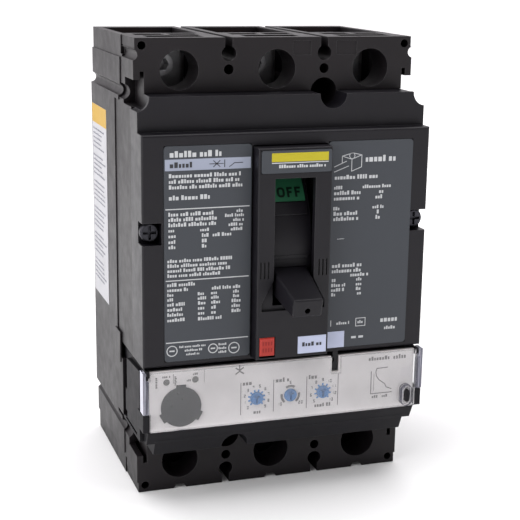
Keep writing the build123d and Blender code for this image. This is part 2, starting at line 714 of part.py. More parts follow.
# Two rods that gang the three rotors together.
with BuildPart() as rotor_tie_rods:
    with BuildSketch(side(0)):
        with Locations((ROTOR_DEPTH + CRANK_R, ROTOR_Z), (ROTOR_DEPTH - CRANK_R, ROTOR_Z)):
            Circle(ROD_R)
    extrude(amount=46.5, both=True)
save(rotor_tie_rods.part, "rotor_tie_rods")

# Pair of links from the front rod to the drive pin.
LINK_START = (ROTOR_DEPTH + CRANK_R, ROTOR_Z)
LINK_END = (PIVOT_DEPTH + CRANK_R, PIVOT_Z)
with BuildPart() as drive_links:
    with BuildSketch(side(0)):
        with BuildLine():
            Line(LINK_START, LINK_END)
        trace(line_width=5.6)
        with Locations(LINK_START):
            Circle(3.6)
        with Locations(LINK_END):
            Circle(3.2)
        with Locations(LINK_START):
            Circle(ROD_R + RUNNING_GAP, mode=Mode.SUBTRACT)
        with Locations(LINK_END):
            Circle(1.5 + 2 * RUNNING_GAP, mode=Mode.SUBTRACT)
    extrude(amount=15.2, both=True)
    with BuildSketch(side(0)):
        span(20, 70, -10, 40)
    extrude(amount=13.8, both=True, mode=Mode.SUBTRACT)
save(drive_links.part, "drive_links")


def bridge_plane(x):
    """Side plane at x, centred on the rotor, local Y along the open bridge."""
    along = (0, -cos(radians(ROTOR_OFF_ANGLE)), sin(radians(ROTOR_OFF_ANGLE)))
    across = (0, -sin(radians(ROTOR_OFF_ANGLE)), -cos(radians(ROTOR_OFF_ANGLE)))
    return Plane(origin=(x, -ROTOR_DEPTH, ROTOR_Z), x_dir=across, z_dir=Vector(across).cross(Vector(along)))


for pole, pole_x in POLE_X.items():
    # Molded rotor drum with journals, a slot for the bridge and two rod holes.
    with BuildPart() as contact_rotor:
        with BuildSketch(side(pole_x)):
            with Locations((ROTOR_DEPTH, ROTOR_Z)):
                Circle(ROTOR_R)
        extrude(amount=9, both=True)
        with BuildSketch(side(pole_x)):
            with Locations((ROTOR_DEPTH, ROTOR_Z)):
                Circle(5 - RUNNING_GAP)
        extrude(amount=12.5, both=True)
        with BuildSketch(bridge_plane(pole_x)):
            Rectangle(5.2, 3 * ROTOR_R)
        extrude(amount=4.2, both=True, mode=Mode.SUBTRACT)
        with BuildSketch(side(pole_x)):
            with Locations((ROTOR_DEPTH + CRANK_R, ROTOR_Z), (ROTOR_DEPTH - CRANK_R, ROTOR_Z)):
                Circle(ROD_R + 0.02)
        extrude(amount=20, both=True, mode=Mode.SUBTRACT)
    save(contact_rotor.part, f"contact_rotor_{pole}")

    # Copper bridge with rounded ends, through the slot of its rotor.
    with BuildPart() as contact_bridge:
        with BuildSketch(bridge_plane(pole_x)):
            SlotOverall(2 * BRIDGE_R, 5.0, rotation=90)
        extrude(amount=4.0, both=True)
    save(contact_bridge.part, f"contact_bridge_{pole}")

    # Arc cassette: a closed insulating box with journals for the rotor.
    with BuildPart() as arc_cassette:
        with BuildSketch(side(pole_x)):
            span(4.6, 42.8, -16, 56)
        extrude(amount=13, both=True)
        with BuildSketch(side(pole_x)):
            span(6.2, 41.2, -14.4, 54.4)
        extrude(amount=10, both=True, mode=Mode.SUBTRACT)
        with BuildSketch(side(pole_x)):
            with Locations((ROTOR_DEPTH, ROTOR_Z)):
                Circle(5)
            add(
                ring_sector(
                    ROTOR_DEPTH, ROTOR_Z, CRANK_R - 2.3, CRANK_R + 2.3, -OVERTRAVEL - 15, SWING + 15
                )
            )
            add(
                ring_sector(
                    ROTOR_DEPTH, ROTOR_Z, CRANK_R - 2.3, CRANK_R + 2.3, 165 - OVERTRAVEL, SWING + 195
                )
            )
        extrude(amount=20, both=True, mode=Mode.SUBTRACT)
        # Ports for the two conductors and gas vents beside them.
        with BuildSketch(Plane.XY.offset(50)):
            spans_of_plan(pole_x - 8.1, pole_x + 8.1, 7.9, 11.1)
            for vent in (-6, -2, 2, 6):
                spans_of_plan(pole_x + vent - 0.8, pole_x + vent + 0.8, 20, 34)
        extrude(amount=10, mode=Mode.SUBTRACT)
        with BuildSketch(Plane.XY.offset(-20)):
            spans_of_plan(pole_x - 8.1, pole_x + 8.1, 36.3, 39.5)
            for vent in (-6, -2, 2, 6):
                spans_of_plan(pole_x + vent - 0.8, pole_x + vent + 0.8, 13.4, 27.4)
        extrude(amount=10, mode=Mode.SUBTRACT)
    save(arc_cassette.part, f"arc_cassette_{pole}")

    # Line conductor: lug tang, riser and the U-shaped fixed contact arm.
    with BuildPart() as line_conductor:
        with BuildSketch(side(pole_x)):
            span(BAR_BACK, BAR_BACK + BAR_T, 34, 79)
            span(BAR_BACK, 18.8, 34, 37)
            span(15.8, 18.8, 34, 43.5)
        extrude(amount=BAR_HALF_W, both=True)
    save(line_conductor.part, f"line_conductor_{pole}")

    # Load conductor: fixed contact arm, riser through the transformer, lug tang.
    with BuildPart() as load_conductor:
        with BuildSketch(side(pole_x)):
            span(28.6, 31.6, -3.5, 6)
            span(28.6, 39.4, 3, 6)
            span(36.4, 39.4, -21, 6)
            span(21.5, 39.4, -21, -18)
            span(21.5, 24.5, -53, -18)
            span(BAR_BACK, 24.5, -53, -50)
            span(BAR_BACK, BAR_BACK + BAR_T, -79, -50)
        extrude(amount=BAR_HALF_W, both=True)
        # Narrow waist where the bar threads the transformer window.
        with BuildSketch(front(15)):
            span(pole_x - 10, pole_x - 6, -49, -22)
            span(pole_x + 6, pole_x + 10, -49, -22)
        extrude(amount=20, mode=Mode.SUBTRACT)
    save(load_conductor.part, f"load_conductor_{pole}")

    # Current transformer around the load conductor.
    with BuildPart() as current_transformer:
        with BuildSketch(Plane.XY.offset(-46)):
            with Locations((pole_x, -23)):
                RectangleRounded(25, 30, 7)
                RectangleRounded(13, 8, 2, mode=Mode.SUBTRACT)
        extrude(amount=22)
        fillet(current_transformer.faces().group_by(Axis.Z)[-1].edges(), 1.5)
    save(current_transformer.part, f"current_transformer_{pole}")

# Silver tips on the bridges.
with BuildPart() as moving_contact_tips:
    for pole_x in POLE_X.values():
        with BuildSketch(bridge_plane(pole_x)):
            with Locations((-(2.5 + 0.6), CONTACT_R), (2.5 + 0.6, -CONTACT_R)):
                Rectangle(1.2, 3.6)
        extrude(amount=3.4, both=True)
save(moving_contact_tips.part, "moving_contact_tips")

# Silver tips on the fixed arms.
with BuildPart() as fixed_contact_tips:
    with BuildSketch(side(0)):
        span(18.8, 19.98, 37.2, 40.8)
        span(27.42, 28.6, -0.8, 2.8)
    extrude(amount=48, both=True)
    with BuildSketch(side(0)):
        span(15, 30, -5, 45)
    extrude(amount=31.6, both=True, mode=Mode.SUBTRACT)
    with BuildSketch(side(0)):
        span(18.8, 19.98, 37.2, 40.8)
        span(27.42, 28.6, -0.8, 2.8)
    extrude(amount=3.4, both=True)
    with BuildSketch(side(-POLE_PITCH - 3.4)):
        span(15, 30, -5, 45)
    extrude(amount=20, mode=Mode.SUBTRACT)
    with BuildSketch(side(POLE_PITCH + 3.4)):
        span(15, 30, -5, 45)
    extrude(amount=-20, mode=Mode.SUBTRACT)
save(fixed_contact_tips.part, "fixed_contact_tips")

# Arc splitter plates above the line contacts and below the load contacts.
PLATE_COUNT = 6
with BuildPart() as arc_splitter_plates:
    for pole_x in POLE_X.values():
        with BuildSketch(side(pole_x)):
            for number in range(PLATE_COUNT):
                with Locations((21.5 + 2.6 * number, 48.4), (47.4 - 21.5 - 2.6 * number, -8.4)):
                    Rectangle(1.0, 10.0)
        extrude(amount=10.0, both=True)
save(arc_splitter_plates.part, "arc_splitter_plates")

# ---------------------------------------------------------------- terminals

for name, level in (("line_lugs", LUG_Z), ("load_lugs", -LUG_Z)):
    # Box lugs: one wire bore through each, and a tapped front hole for the screw.
    with BuildPart() as lugs:
        for pole_x in POLE_X.values():
            with BuildSketch(Plane.XY.offset(level - 9)):
                spans_of_plan(pole_x - LUG_HALF_W, pole_x + LUG_HALF_W, BAR_BACK + BAR_T, 41)
            extrude(amount=18)
        fillet(lugs.edges().filter_by(Axis.Z), 2.0)
        for pole_x in POLE_X.values():
            with BuildSketch(Plane.XY.offset(level - 10)):
                with Locations((pole_x, -WIRE_DEPTH)):
                    Circle(WIRE_R)
            extrude(amount=20, mode=Mode.SUBTRACT)
            with BuildSketch(front(WIRE_DEPTH)):
                with Locations((pole_x, level)):
                    Circle(LUG_SCREW_R + RUNNING_GAP)
            extrude(amount=25, mode=Mode.SUBTRACT)
    save(lugs.part, name)

# Hex-socket clamping screws, backed out clear of the wire bores.
with BuildPart() as lug_screws:
    with BuildSketch(front(29)):
        with GridLocations(POLE_PITCH, 2 * LUG_Z, 3, 2):
            Circle(LUG_SCREW_R)
    extrude(amount=17)
    with BuildSketch(front(39)):
        with GridLocations(POLE_PITCH, 2 * LUG_Z, 3, 2):
            RegularPolygon(2.4, 6)
    extrude(amount=10, mode=Mode.SUBTRACT)
save(lug_screws.part, "lug_screws")

# ---------------------------------------------------------------- trip unit

# Case of the trip unit: full-width box with a skirt over the load terminals.
with BuildPart() as trip_unit_case:
    with BuildSketch(side(0)):
        add(
            outline(
                (PART_LINE, -30.2),
                (83.8, -30.2),
                (83.8, -52.9),
                (84.8, -53.2),
                (82.2, UNIT_BOTTOM),
                (PART_LINE, UNIT_BOTTOM),
            )
        )
    extrude(amount=UNIT_HALF_W, both=True)
    # Flank panels with a lip along the bottom edge, and a catch behind each panel.
    with BuildSketch(side(0)):
        add(
            outline(
                (UNIT_PANEL_BACK, -33.4),
                (UNIT_FLANK_FRONT, -32.0),
                (UNIT_FLANK_FRONT, UNIT_BOTTOM),
                (UNIT_EDGE + 1, UNIT_BOTTOM),
                (UNIT_EDGE + 1, UNIT_BOTTOM + 0.9),
                (UNIT_PANEL_BACK, UNIT_BOTTOM + 1.9),
            )
        )
        span(CATCH_BACK, UNIT_PANEL_BACK, -53.8, -45.6)
    extrude(amount=BODY_HALF_W, both=True)
    for x, inward in ((-BODY_HALF_W, -0.7), (BODY_HALF_W, 0.7)):
        with BuildSketch(side(x)):
            span(57.0, 75.0, UNIT_BOTTOM + 0.9, UNIT_BOTTOM + 2.0)
        extrude(amount=inward, mode=Mode.SUBTRACT)
    with BuildSketch(side(0)):
        add(outline((70.0, -57), (82.9, -57), (82.2, UNIT_BOTTOM), (79.8, -63.2), (70.0, -63.2)))
    extrude(amount=47.4, both=True)
    with BuildSketch(front(PART_LINE)):
        span(-47.5, 47.5, -56, -32.6)
    extrude(amount=37.5, mode=Mode.SUBTRACT)
    # Half-round over the lower mounting recess.
    with BuildSketch(front(60)):
        with Locations((-BARRIER_X, -MOUNT_Z)):
            Circle(MOUNT_RECESS_R)
    extrude(amount=40, mode=Mode.SUBTRACT)
    # Shoulders below the ears of the clear cover, and room for the ears.
    with BuildSketch(front(78)):
        span(-SHOULDER_OUT, -50.1, SHOULDER_BOTTOM, SHOULDER_TOP)
        span(50.1, SHOULDER_OUT, SHOULDER_BOTTOM, SHOULDER_TOP)
    extrude(amount=8.4)
    with BuildSketch(front(81.8)):
        span(-53, -50.0, SHOULDER_TOP, -30)
        span(50.0, 53, SHOULDER_TOP, -30)
    extrude(amount=5, mode=Mode.SUBTRACT)
    # Hinge lugs of the clear cover.
    for x, width in ((-50.0, 1.0), (50.0, -1.0)):
        with BuildSketch(side(x)):
            with Locations((HINGE_DEPTH, HINGE_Z)):
                Circle(1.3)
            span(81.5, HINGE_DEPTH, HINGE_Z - 1.3, HINGE_Z + 1.1)
            with Locations((HINGE_DEPTH, HINGE_Z)):
                Circle(0.6 + RUNNING_GAP, mode=Mode.SUBTRACT)
        extrude(amount=width)
    # Seat openings in the front wall: dial shafts, lamps and the test socket.
    with BuildSketch(front(78)):
        for x in DIALS.values():
            with Locations((x, DIAL_Z)):
                Circle(1.5 + RUNNING_GAP)
        with Locations((-43.7, -34.9), (-33.4, -34.7)):
            Circle(1.2)
        with Locations((-38.6, -44.2)):
            Circle(6.0)
    extrude(amount=10, mode=Mode.SUBTRACT)
    # Sealing post at the lower right of the panel.
    with BuildSketch(front(83.8)):
        with Locations((POST_X, POST_Z)):
            SlotOverall(4.8, 1.7, rotation=90)
    extrude(amount=4.6)
save(trip_unit_case.part, "trip_unit_case")

# Light front panel of the trip unit.
with BuildPart() as trip_panel:
    with BuildSketch(front(83.8)):
        span(-49.9, 49.9, PANEL_BOTTOM, PANEL_TOP)
        with Locations((-43.7, -34.9), (-33.4, -34.7)):
            Circle(1.2, mode=Mode.SUBTRACT)
        for x in DIALS.values():
            with Locations((x, DIAL_Z)):
                Circle(DIAL_R + RUNNING_GAP, mode=Mode.SUBTRACT)
        with Locations((-38.6, -44.2)):
            Circle(6.0, mode=Mode.SUBTRACT)
        span(17.1, 20.0, -36.5, PANEL_TOP, mode=Mode.SUBTRACT)
        with Locations((POST_X, POST_Z)):
            SlotOverall(5.0, 1.9, rotation=90, mode=Mode.SUBTRACT)
    extrude(amount=PANEL_FACE - 83.8)
save(trip_panel.part, "trip_panel")

# Round test socket with three key tabs.
with BuildPart() as test_socket:
    with BuildSketch(front(82)):
        with Locations((-38.6, -44.2)):
            Circle(5.95)
    extrude(amount=PANEL_FACE - 82)
    with BuildSketch(front(PANEL_FACE)):
        with Locations((-38.6, -44.2)):
            Circle(7.2)
            with PolarLocations(6.9, 3, start_angle=90):
                Rectangle(2.2, 3.4)
    extrude(amount=0.5)
    with BuildSketch(front(PANEL_FACE + 0.2)):
        with Locations((-39.7, -38.9), (-38.2, -41.0), (-43.4, -41.0), (-42.2, -43.4)):
            Circle(0.45)
    extrude(amount=5, mode=Mode.SUBTRACT)
save(test_socket.part, "test_socket")

# Lamp lenses.
with BuildPart() as status_lamps:
    with BuildSketch(front(80.5)):
        with Locations((-43.7, -34.9), (-33.4, -34.7)):
            Circle(1.15)
    extrude(amount=4.3)
save(status_lamps.part, "status_lamps")

# Three adjusting dials, each with a screwdriver arrow.
for name, x in DIALS.items():
    with BuildPart() as dial:
        with BuildSketch(front(79.6)):
            with Locations((x, DIAL_Z)):
                Circle(1.5)
        extrude(amount=4.3)
        with BuildSketch(front(83.85)):
            with Locations((x, DIAL_Z)):
                Circle(DIAL_R)
        extrude(amount=1.75)
        with BuildSketch(front(PANEL_FACE)):
            with Locations((x, DIAL_Z)):
                Rectangle(0.7, 3.4)
                with Locations((0, 1.0)):
                    Triangle(c=2.0, B=50, C=50)
        extrude(amount=5, mode=Mode.SUBTRACT)
    save(dial.part, name)

# Transparent cover hinged at its top corners.
with BuildPart() as clear_cover:
    with BuildSketch(front(CLEAR_FACE - 1)):
        span(-49.9, 49.9, CLEAR_BOTTOM, HINGE_Z + 0.8)
        span(-EAR_OUTER, EAR_OUTER, SHOULDER_TOP + 0.5, HINGE_Z - 2.0)
        # Window of the sealing post and notch round the finger hook.
        with Locations((POST_X, POST_Z)):
            SlotOverall(6.2, 2.5, rotation=90, mode=Mode.SUBTRACT)
        span(16.7, 20.3, -36.8, -30, mode=Mode.SUBTRACT)
    extrude(amount=1.0)
    # Raised rim round the sealing post.
    with BuildSketch(front(CLEAR_FACE)):
        with Locations((POST_X, POST_Z)):
            SlotOverall(8.0, 4.3, rotation=90)
            SlotOverall(6.2, 2.5, rotation=90, mode=Mode.SUBTRACT)
    extrude(amount=1.2)
    with BuildSketch(front(CLEAR_FACE - 4.5)):
        span(-EAR_OUTER, -EAR_INNER, SHOULDER_TOP + 0.5, -30.3)
        span(EAR_INNER, EAR_OUTER, SHOULDER_TOP + 0.5, -30.3)
    extrude(amount=4.5)
    # Pivot stubs.
    for x, inward in ((-EAR_INNER, -1.3), (EAR_INNER, 1.3)):
        with BuildSketch(side(x)):
            with Locations((HINGE_DEPTH, HINGE_Z)):
                Circle(0.6)
        extrude(amount=inward)
save(clear_cover.part, "clear_cover")

# Push-to-trip button: cap, shoulder and a stem above the trip bar.
STEM_X = -9.6
STEM_Z = -20.6
with BuildPart() as trip_button:
    with BuildSketch(front(86.2)):
        span(BUTTON_X - 2.85, BUTTON_X + 2.6, BUTTON_Z - 3.0, BUTTON_Z + 3.6)
    extrude(amount=5.2)
    fillet(trip_button.faces().sort_by(Axis.Y)[0].edges(), 0.5)
    with BuildSketch(front(72.4)):
        with Locations((STEM_X, STEM_Z)):
            Circle(0.9)
    extrude(amount=14)
save(trip_button.part, "trip_button")

# Trip bar: a shaft with a paddle behind the button stem.
with BuildPart() as trip_bar:
    with BuildSketch(side(0)):
        with Locations((TRIP_BAR_DEPTH, TRIP_BAR_Z)):
            Circle(1.7)
    extrude(amount=14.0, both=True)
    with BuildSketch(side(STEM_X + 1.2)):
        span(TRIP_BAR_DEPTH + 0.6, TRIP_BAR_DEPTH + 2.3, TRIP_BAR_Z, STEM_Z + 1.4)
    extrude(amount=2.4)
save(trip_bar.part, "trip_bar")

# Bearing blocks of the trip bar, standing on the floor of the cover.
with BuildPart() as trip_bar_bearings:
    with BuildSketch(side(0)):
        span(66.2, 68.9, -27.9, -22.0)
        span(66.2, 73.2, -27.1, -22.0)
        with Locations((TRIP_BAR_DEPTH, TRIP_BAR_Z)):
            Circle(1.7 + RUNNING_GAP, mode=Mode.SUBTRACT)
    extrude(amount=13.0, both=True)
    with BuildSketch(side(0)):
        span(60, 80, -30, -20)
    extrude(amount=11.4, both=True, mode=Mode.SUBTRACT)
save(trip_bar_bearings.part, "trip_bar_bearings")

# Circuit board of the trip unit with its larger components.
with BuildPart() as circuit_board:
    with BuildSketch(front(75.5)):
        span(-46, 46, -55, -33.6)
    extrude(amount=1.6)
    with BuildSketch(front(70.5)):
        span(-40, -24, -50, -38)
        span(-16, -4, -48, -40)
        span(22, 30, -50, -36)
        with Locations((10, -44), (16, -44), (36, -42)):
            Circle(2.6)
    extrude(amount=5)
save(circuit_board.part, "circuit_board")

# Trip actuator: a solenoid can standing in the trip unit.
with BuildPart() as trip_actuator:
    with BuildSketch(front(50)):
        with Locations((0, -44)):
            RectangleRounded(16, 16, 2)
    extrude(amount=16)
    with BuildSketch(Plane.XY.offset(-36)):
        with Locations((0, -58)):
            Circle(2.2)
    extrude(amount=2.6)
save(trip_actuator.part, "trip_actuator")
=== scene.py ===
"""Looks of the molded case breaker: finishes, printed marks, floor, light and camera.

Places are millimetres until they enter a mesh. X runs right, Z up, and the front faces -Y.
"""

import json
import random
from math import atan2, copysign, cos, hypot, pi, radians, sin

import bmesh
import bpy
from mathutils import Matrix, Vector


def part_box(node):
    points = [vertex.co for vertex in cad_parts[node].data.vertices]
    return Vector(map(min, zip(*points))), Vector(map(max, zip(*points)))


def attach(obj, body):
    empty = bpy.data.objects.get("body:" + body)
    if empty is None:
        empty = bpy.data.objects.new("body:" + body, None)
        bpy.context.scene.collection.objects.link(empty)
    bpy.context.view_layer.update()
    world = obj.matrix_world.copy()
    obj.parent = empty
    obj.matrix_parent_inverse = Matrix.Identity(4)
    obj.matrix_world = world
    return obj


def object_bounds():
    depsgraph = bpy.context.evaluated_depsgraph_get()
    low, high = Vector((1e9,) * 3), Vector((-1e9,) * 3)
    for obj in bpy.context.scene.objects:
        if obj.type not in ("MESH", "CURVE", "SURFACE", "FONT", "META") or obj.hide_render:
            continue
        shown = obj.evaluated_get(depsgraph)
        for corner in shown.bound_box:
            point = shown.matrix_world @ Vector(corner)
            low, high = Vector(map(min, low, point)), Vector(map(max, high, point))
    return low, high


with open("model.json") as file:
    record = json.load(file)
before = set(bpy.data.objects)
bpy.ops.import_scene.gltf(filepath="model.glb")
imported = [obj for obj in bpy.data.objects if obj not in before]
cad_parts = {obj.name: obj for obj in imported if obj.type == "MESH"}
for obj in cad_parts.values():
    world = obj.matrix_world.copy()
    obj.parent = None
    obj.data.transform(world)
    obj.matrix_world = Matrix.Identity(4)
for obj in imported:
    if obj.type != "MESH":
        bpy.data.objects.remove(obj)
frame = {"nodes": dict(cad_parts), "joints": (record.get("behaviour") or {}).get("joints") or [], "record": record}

CAD_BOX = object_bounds()
MM = 0.001

# Ink stands this far out of its surface and reaches this far into it.
INK_LIFT = 0.04
INK_SINK = 0.02

# Steps in which a letter's stroke follows the curved flags.
LETTER_STEPS = 6

# Rounding that finds the edges of plastic, metal and the clear cover; they are lightened for wear and a painted
# highlight.
PLASTIC_EDGE = 0.3
METAL_EDGE = 0.2
CLEAR_EDGE = 0.35

# Where the clear cover's ears begin, and the raised rim round its sealing post.
EAR_START = 50.2
SEAL_X = 46.3
SEAL_Z = -47.6
SEAL_HALF = 1.85
RIM_INNER = 1.85
RIM_OUTER = 2.35
RIM_BLUR = 0.15


# ---------------------------------------------------------------- node graphs

def feed(tree, socket, value):
    """Links a socket to another one, or sets its value."""
    if isinstance(value, bpy.types.NodeSocket):
        tree.links.new(value, socket)
    else:
        socket.default_value = value


class Graph:
    """A material or world node tree with short calls for the nodes it needs."""

    def __init__(self, tree):
        self.tree = tree

    def add(self, kind, inputs=None, **settings):
        """New node with its settings and inputs; an input may be a value or a socket."""
        made = self.tree.nodes.new(kind)
        for key, value in settings.items():
            setattr(made, key, value)
        for key, value in (inputs or {}).items():
            feed(self.tree, made.inputs[key], value)
        return made

    def millimetres(self, stretch=(1.0, 1.0, 1.0)):
        """Object coordinates counted in millimetres, stretched along each axis."""
        place = self.add("ShaderNodeTexCoord").outputs["Object"]
        scale = [factor / MM for factor in stretch]
        return self.add("ShaderNodeMapping", {"Vector": place, "Scale": scale}).outputs[0]

    def noise(self, at, scale, detail=3.0, rough=0.55):
        """Noise value from 0 to 1, with scale in waves per millimetre."""
        inputs = {"Vector": at, "Scale": scale, "Detail": detail, "Roughness": rough}
        return self.add("ShaderNodeTexNoise", inputs).outputs["Fac"]

    def span(self, value, low, high, to_low, to_high):
        """Value mapped from one range to another and held at its ends."""
        inputs = {"Value": value, 1: low, 2: high, 3: to_low, 4: to_high}
        return self.add("ShaderNodeMapRange", inputs).outputs[0]

    def mix(self, fraction, first, second):
        """Colour between two colours."""
        made = self.add("ShaderNodeMix", data_type="RGBA")
        used = {s.name: s for s in made.inputs if s.enabled and s.type in ("RGBA", "VALUE")}
        feed(self.tree, used["Factor"], fraction)
        feed(self.tree, used["A"], first)
        feed(self.tree, used["B"], second)
        return next(s for s in made.outputs if s.type == "RGBA")

    def math(self, operation, first, second=0.0):
        """Result of one calculation; those on a single value leave the second alone."""
        return self.add("ShaderNodeMath", {0: first, 1: second}, operation=operation).outputs[0]

    def dot(self, first, second):
        """Dot product of two vectors."""
        inputs = {0: first, 1: second}
        return self.add("ShaderNodeVectorMath", inputs, operation="DOT_PRODUCT").outputs["Value"]

    def beveled(self, radius):
        """Surface normal with its edges rounded over a radius in millimetres."""
        return self.add("ShaderNodeBevel", {"Radius": radius * MM}, samples=4).outputs[0]

    def edges(self, radius):
        """1 at sharp edges and 0 on open faces."""
        rounded = self.beveled(radius)
        flat = self.add("ShaderNodeNewGeometry").outputs["Normal"]
        return self.span(self.dot(rounded, flat), 0.995, 0.80, 0.0, 1.0)

    def bump(self, height, distance, strength=1.0, radius=0.0):
        """Surface normal from a height in 0 to 1; distance is its depth in millimetres."""
        inputs = {"Height": height, "Distance": distance * MM, "Strength": strength}
        if radius:
            inputs["Normal"] = self.beveled(radius)
        return self.add("ShaderNodeBump", inputs).outputs[0]


def shade(color, factor):
    """Colour with its three parts scaled."""
    return (*(min(1.0, part * factor) for part in color[:3]), 1.0)


def new_finish(name):
    """Empty material with its graph and its principled shader."""
    material = bpy.data.materials.new(name)
    material.use_nodes = True
    return material, Graph(material.node_tree), material.node_tree.nodes["Principled BSDF"]


def fill(graph, shader, **inputs):
    """Sets or links the principled shader's inputs; underscores stand for spaces."""
    for key, value in inputs.items():
        feed(graph.tree, shader.inputs[key.replace("_", " ")], value)


# ---------------------------------------------------------------- finishes

def molded(name, color, rough=0.42, grain=0.02, wear_and_highlight=0.5, specular=0.24, reach=0.0):
    """Molded plastic: spark-eroded grain, slow colour drift, edges lightened partly for wear and partly as a
    painted highlight.

    Hollows narrower than the reach in millimetres get painted shade: darker colour and less sheen.
    """
    material, graph, shader = new_finish(name)
    at = graph.millimetres()
    drift = graph.noise(at, 0.035, 4.0)
    grains = graph.noise(at, 2.2, 2.0)
    # Edge colour is lightened: partly wear, partly a painted highlight along the edges.
    rubbed_and_highlit = graph.math("MULTIPLY", graph.edges(PLASTIC_EDGE), wear_and_highlight)
    body = graph.mix(graph.span(drift, 0.3, 0.7, 0.0, 1.0), shade(color, 0.86), shade(color, 1.16))
    body = graph.mix(rubbed_and_highlit, body, shade([0.5 * part + 0.05 for part in color], 2.6))
    blotches = graph.noise(at, 0.22, 3.0)
    roughness = graph.span(graph.math("ADD", drift, blotches), 0.7, 1.3, rough - 0.05, rough + 0.07)
    # Painted shade: hollows are darkened and lose sheen by how closed in they are.
    if reach:
        painted_shade_openness = graph.add("ShaderNodeAmbientOcclusion", {"Distance": reach * MM}, samples=6).outputs["AO"]
        clear = graph.span(painted_shade_openness, 0.15, 0.72, 0.12, 1.0)
        body = graph.mix(clear, shade(color, 0.2), body)
        specular = graph.math("MULTIPLY", clear, specular)
    fill(graph, shader, Base_Color=body, Roughness=roughness, Specular_IOR_Level=specular)
    fill(graph, shader, Normal=graph.bump(grains, grain, 0.6, PLASTIC_EDGE))
    return material


def brushed(name, color, rough, along=(1.0, 1.0, 0.06)):
    """Drawn or brushed metal with fine lines along one axis."""
    material, graph, shader = new_finish(name)
    lines = graph.noise(graph.millimetres(along), 6.0, 3.0)
    cloud = graph.noise(graph.millimetres(), 0.25, 4.0)
    tone = graph.mix(graph.span(cloud, 0.3, 0.7, 0.0, 1.0), shade(color, 0.78), shade(color, 1.08))
    # Edges are lightened: partly wear, partly a painted highlight.
    tone = graph.mix(graph.math("MULTIPLY", graph.edges(METAL_EDGE), 0.35), tone, shade(color, 1.3))
    roughness = graph.span(lines, 0.3, 0.7, rough - 0.08, rough + 0.12)
    fill(graph, shader, Base_Color=tone, Metallic=1.0, Roughness=roughness)
    fill(graph, shader, Normal=graph.bump(lines, 0.006, 0.5, METAL_EDGE))
    return material


def printed(name, color, rough=0.45, speckle=0.08):
    """Printed film or ink: even tone with a faint screen and a satin sheen."""
    material, graph, shader = new_finish(name)
    at = graph.millimetres()
    screen = graph.noise(at, 5.0, 2.0)
    cloud = graph.noise(at, 0.08, 3.0)
    fraction = graph.math("ADD", graph.math("MULTIPLY", screen, 0.35), graph.math("MULTIPLY", cloud, 0.65))
    tone = graph.mix(fraction, shade(color, 1.0 - speckle), shade(color, 1.0 + speckle))
    fill(graph, shader, Base_Color=tone, Roughness=graph.span(cloud, 0.3, 0.7, rough - 0.05, rough + 0.08))
    fill(graph, shader, Normal=graph.bump(screen, 0.004, 0.4), Specular_IOR_Level=0.24)
    return material


def paper(name, color):
    """Paper label with short fibres."""
    material, graph, shader = new_finish(name)
    fibres = graph.noise(graph.millimetres((1.0, 0.3, 1.0)), 4.0, 4.0)
    cloud = graph.noise(graph.millimetres(), 0.12, 3.0)
    tone = graph.mix(graph.span(cloud, 0.25, 0.75, 0.0, 1.0), shade(color, 0.93), shade(color, 1.05))
    fill(graph, shader, Base_Color=tone, Roughness=graph.span(fibres, 0.3, 0.7, 0.55, 0.75))
    fill(graph, shader, Normal=graph.bump(fibres, 0.008, 0.6))
    return material


def ear_painted_light(graph, ear):
    """Colour painted into the clear cover for the light that its ears bend and reflect.

    This painted light is pale on the flanks of the ears and streaked upright elsewhere.
    """
    facing = graph.add("ShaderNodeSeparateXYZ", {0: graph.add("ShaderNodeNewGeometry").outputs["Normal"]})
    flank = graph.span(graph.math("ABSOLUTE", facing.outputs["X"]), 0.4, 0.6, 0.0, 1.0)
    streaks = graph.span(graph.noise(graph.millimetres((2.2, 1.0, 0.05)), 1.0, 1.0), 0.48, 0.66, 0.0, 1.0)
    streaked = graph.mix(streaks, (0.06, 0.06, 0.08, 1), (0.42, 0.42, 0.48, 1))
    return graph.mix(graph.math("MULTIPLY", ear, flank), streaked, (0.62, 0.62, 0.70, 1))


def seal_rim(graph, place):
    """1 on the raised round-ended rim about the sealing post, and 0 elsewhere."""
    aside = graph.math("SUBTRACT", place.outputs["X"], SEAL_X)
    above = graph.math("ABSOLUTE", graph.math("SUBTRACT", place.outputs["Z"], SEAL_Z))
    beyond = graph.math("MAXIMUM", graph.math("SUBTRACT", above, SEAL_HALF), 0.0)
    squares = [graph.math("MULTIPLY", reach, reach) for reach in (aside, beyond)]
    around = graph.math("SQRT", graph.math("ADD", *squares))
    outside = graph.span(around, RIM_INNER, RIM_INNER + RIM_BLUR, 0.0, 1.0)
    inside = graph.span(around, RIM_OUTER - RIM_BLUR, RIM_OUTER, 1.0, 0.0)
    return graph.math("MULTIPLY", outside, inside)


